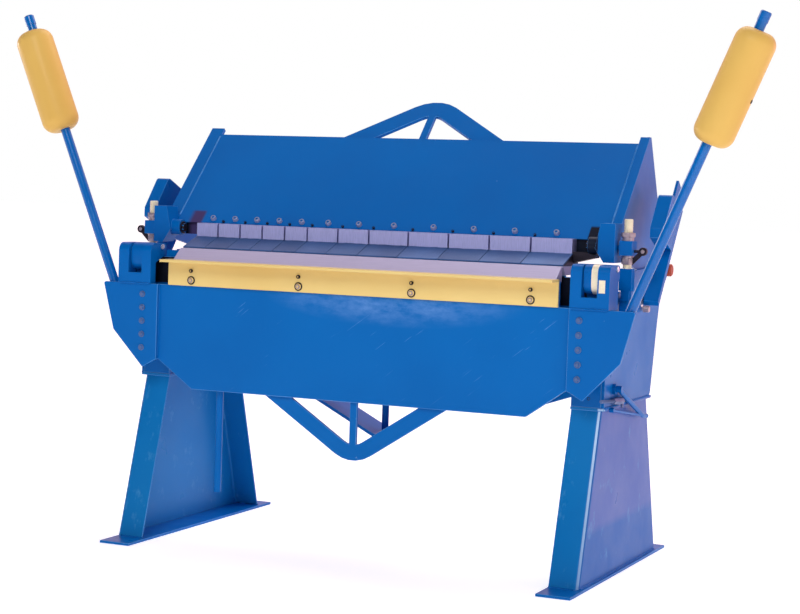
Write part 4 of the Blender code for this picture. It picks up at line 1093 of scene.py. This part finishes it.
def build_adjuster():
    """The threaded adjuster low on the right side plate, with its nut and the small eye under it."""
    front, seat, end = [spot(adjuster_x, *place) for place in (adjuster_front, adjuster_seat, adjuster_end)]
    form = bmesh.new()
    tip, share = adjuster_tip
    turn_into(form, front, seat - front, [(0, share * adjuster_radius)]
              + thread_profile(tip, (seat - front).length, adjuster_radius), adjuster_sides)
    piece_from("adjuster_screw", form, "slate_steel", "frame")
    form = bmesh.new()
    turn_into(form, seat, end - seat, scaled(adjuster_nut, 1, (end - seat).length), screw_sides)
    turn_into(form, spot(adjuster_eye_x, *adjuster_eye), (1, 0, 0),
              chamfered(0, adjuster_eye_width, adjuster_eye_radius, *adjuster_eye_cut), screw_sides)
    piece_from("adjuster_nut", form, "slate_steel", "frame")


def build_shade_block():
    """A dark block and a thin dark sheet standing in for shade at the right end of the finger row."""
    form = bmesh.new()
    outline = [(shade_block_inner_x, shade_block_low_z), (shade_block_outer_x, shade_block_outer_z), (shade_block_outer_x, shade_block_cheek_z),
               (shade_block_cheek_x, shade_block_top_z), (shade_block_inner_x, shade_block_top_z)]
    skin(form, [[spot(x, y, z) for x, z in outline] for y in (0, shade_block_back_y)])
    wedge = [(shade_block_nose_y, shade_block_foot_z), (0, shade_block_cheek_z), (shade_block_back_y, shade_block_cheek_z),
             (shade_block_back_y, shade_block_foot_z)]
    skin(form, [[spot(x, y, z) for y, z in wedge] for x in (shade_block_inner_x, shade_block_inner_x + shade_block_sheet_width)])
    piece_from("finger_row_shoe", form, "dark_steel", "beam")


def build_bed_details():
    """The strip on the bed's left shoulder and the plugged hole in its face."""
    form = bmesh.new()
    block_into(form, spot(-strip_outer_x, bed_face_y, strip_low_z),
               spot(-strip_inner_x, strip_back_y, strip_high_z))
    piece_from("bed_shoulder_strip", form, "blue_paint", "frame")
    form = bmesh.new()
    turn_into(form, spot(plug_x, bed_face_y, plug_z), toward, scaled(plug, plug_radius), screw_sides)
    piece_from("bed_plug", form, "dark_steel", "frame")


def paint_nodes(group):
    """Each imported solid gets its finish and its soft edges."""
    slots = {part["node"]: part["material_slot"] for part in frame["record"]["subparts"]}
    own = {"leaf_plate": "apron_paint", "beam_plate": "beam_paint", "angle_bar": "bar_paint",
           "stand_left": "stand_paint", "stand_right": "stand_paint", "bed_web": "bed_paint",
           "beam_casting_left": "casting_paint", "beam_casting_right": "casting_paint"}
    thick = ("leaf_plate", "beam_plate", "wing_left", "wing_right", "angle_bar", "bed_web")
    for name, node in nodes.items():
        slot = slots[name]
        node.data.materials.clear()
        if name.startswith("finger_"):
            node.data.materials.append(finger_steel(name + "_finish", int(name.split("_")[1])))
        else:
            node.data.materials.append(materials[own.get(name, slot)])
        pale_edges = slot == "blue_paint"
        if pale_edges:
            node.data.materials.append(materials["worn_edge"])
        soften(node, plate_edge_round if name in thick else edge_round, group, pale_edges)


def stage():
    """A pale floor, a bright backdrop behind the machine and soft studio lamps."""
    floor = bpy.data.meshes.new("floor")
    corners = [(-floor_half, -floor_half, 0), (floor_half, -floor_half, 0),
               (floor_half, floor_half, 0), (-floor_half, floor_half, 0)]
    floor.from_pydata(corners, [], [(0, 1, 2, 3)])
    floor.materials.append(materials["floor"])
    placed("floor", floor)
    world = bpy.data.worlds.new("studio")
    bpy.context.scene.world = world
    world.use_nodes = True
    tree = world.node_tree
    facing = tree.nodes.new("ShaderNodeTexCoord").outputs["Generated"]
    behind = ranged(tree, axes_of(tree, facing)[1], room_turn_low, room_turn_high)
    lit = mixed(tree, behind, room_front, room_back)
    seen = tree.nodes.new("ShaderNodeLightPath").outputs["Is Camera Ray"]
    tree.links.new(mixed(tree, seen, lit, room_seen), tree.nodes["Background"].inputs["Color"])
    bpy.context.scene.view_settings.view_transform = "Standard"
    for name, settings in lamps.items():
        lamp(name, *settings)


def lamp(name, place, target, size, power, colour):
    """A square soft light that faces a point."""
    data = bpy.data.lights.new(name, "AREA")
    data.energy = power
    data.size = size
    data.color = colour
    light = placed(name, data)
    light.location = place
    light.rotation_euler = (Vector(target) - Vector(place)).to_track_quat("-Z", "Y").to_euler()


look_from_photo()
group = smoothing_group()
blue = ((0.000, 0.132, 0.455), (0.000, 0.112, 0.405), (0.22, 0.38, 0.66))
# Colour, deeper tone, chipped tone, roughness, marks and gloss
paints = {
    "blue": blue,
    "tube": (*blue, 0.20, tube_highlight, 0.40),
    "apron": (*blue, 0.34, apron_marks),
    "beam": (*blue, 0.36, beam_marks),
    "bed": (*blue, 0.34, bed_marks),
    "casting": (*blue, 0.32, casting_marks),
    # The stands' enamel is a paler copy of the blue: painted light for their lit faces
    "stand": ((0.008, 0.178, 0.480), (0.003, 0.150, 0.435), (0.30, 0.45, 0.70), 0.32, stand_marks),
    "yellow": ((0.700, 0.465, 0.124), (0.650, 0.400, 0.096), (0.80, 0.70, 0.45)),
    "bar": ((0.770, 0.600, 0.238), (0.720, 0.530, 0.185), (0.90, 0.82, 0.60)),
    "red": ((0.420, 0.080, 0.045), (0.330, 0.060, 0.035), (0.60, 0.30, 0.20), 0.4),
}
# Colour, deeper tone, roughness, stretch of the lines and metal
steels = {
    "ground_steel": ((0.50, 0.48, 0.68), (0.42, 0.41, 0.60), 0.46, (0.2, 8, 8), 0.3),
    "cream_steel": ((0.90, 0.82, 0.60), (0.74, 0.66, 0.50), 0.4, (6, 6, 6), 0.1),
    "plated_steel": ((0.78, 0.78, 0.80), (0.55, 0.55, 0.60), 0.26, (6, 6, 6)),
    "pink_steel": ((0.42, 0.34, 0.38), (0.28, 0.22, 0.26), 0.36, (6, 6, 6), 0.5),
    "bolt_steel": ((0.36, 0.41, 0.58), (0.24, 0.28, 0.42), 0.36, (6, 6, 6), 0.5),
    "slate_steel": ((0.09, 0.15, 0.33), (0.05, 0.09, 0.21), 0.42, (6, 6, 6), 0.1),
    "dark_steel": ((0.035, 0.030, 0.045), (0.015, 0.015, 0.022), 0.42, (6, 6, 6)),
}
# Paler enamel for bevelled edges: partly paint wear, partly painted highlight
worn_edge = ((0.090, 0.290, 0.640), (0.012, 0.160, 0.480), (0.55, 0.62, 0.84), 0.3)
materials = {name + "_paint": enamel(name + "_enamel", *look) for name, look in paints.items()}
materials.update({name: worked_steel(name, *look) for name, look in steels.items()})
materials["worn_edge"] = enamel("worn_edge", *worn_edge)
materials["floor"] = plain_stage("pale_floor", floor_tone, floor_roughness)
paint_nodes(group)
build_arms()
build_weight_screws()
build_finger_screws()
build_leaf_screws()
build_boss_bolts()
build_links()
build_hinge_faces()
build_lever_screws()
build_welds()
build_adjuster()
build_shade_block()
build_bed_details()
stage()
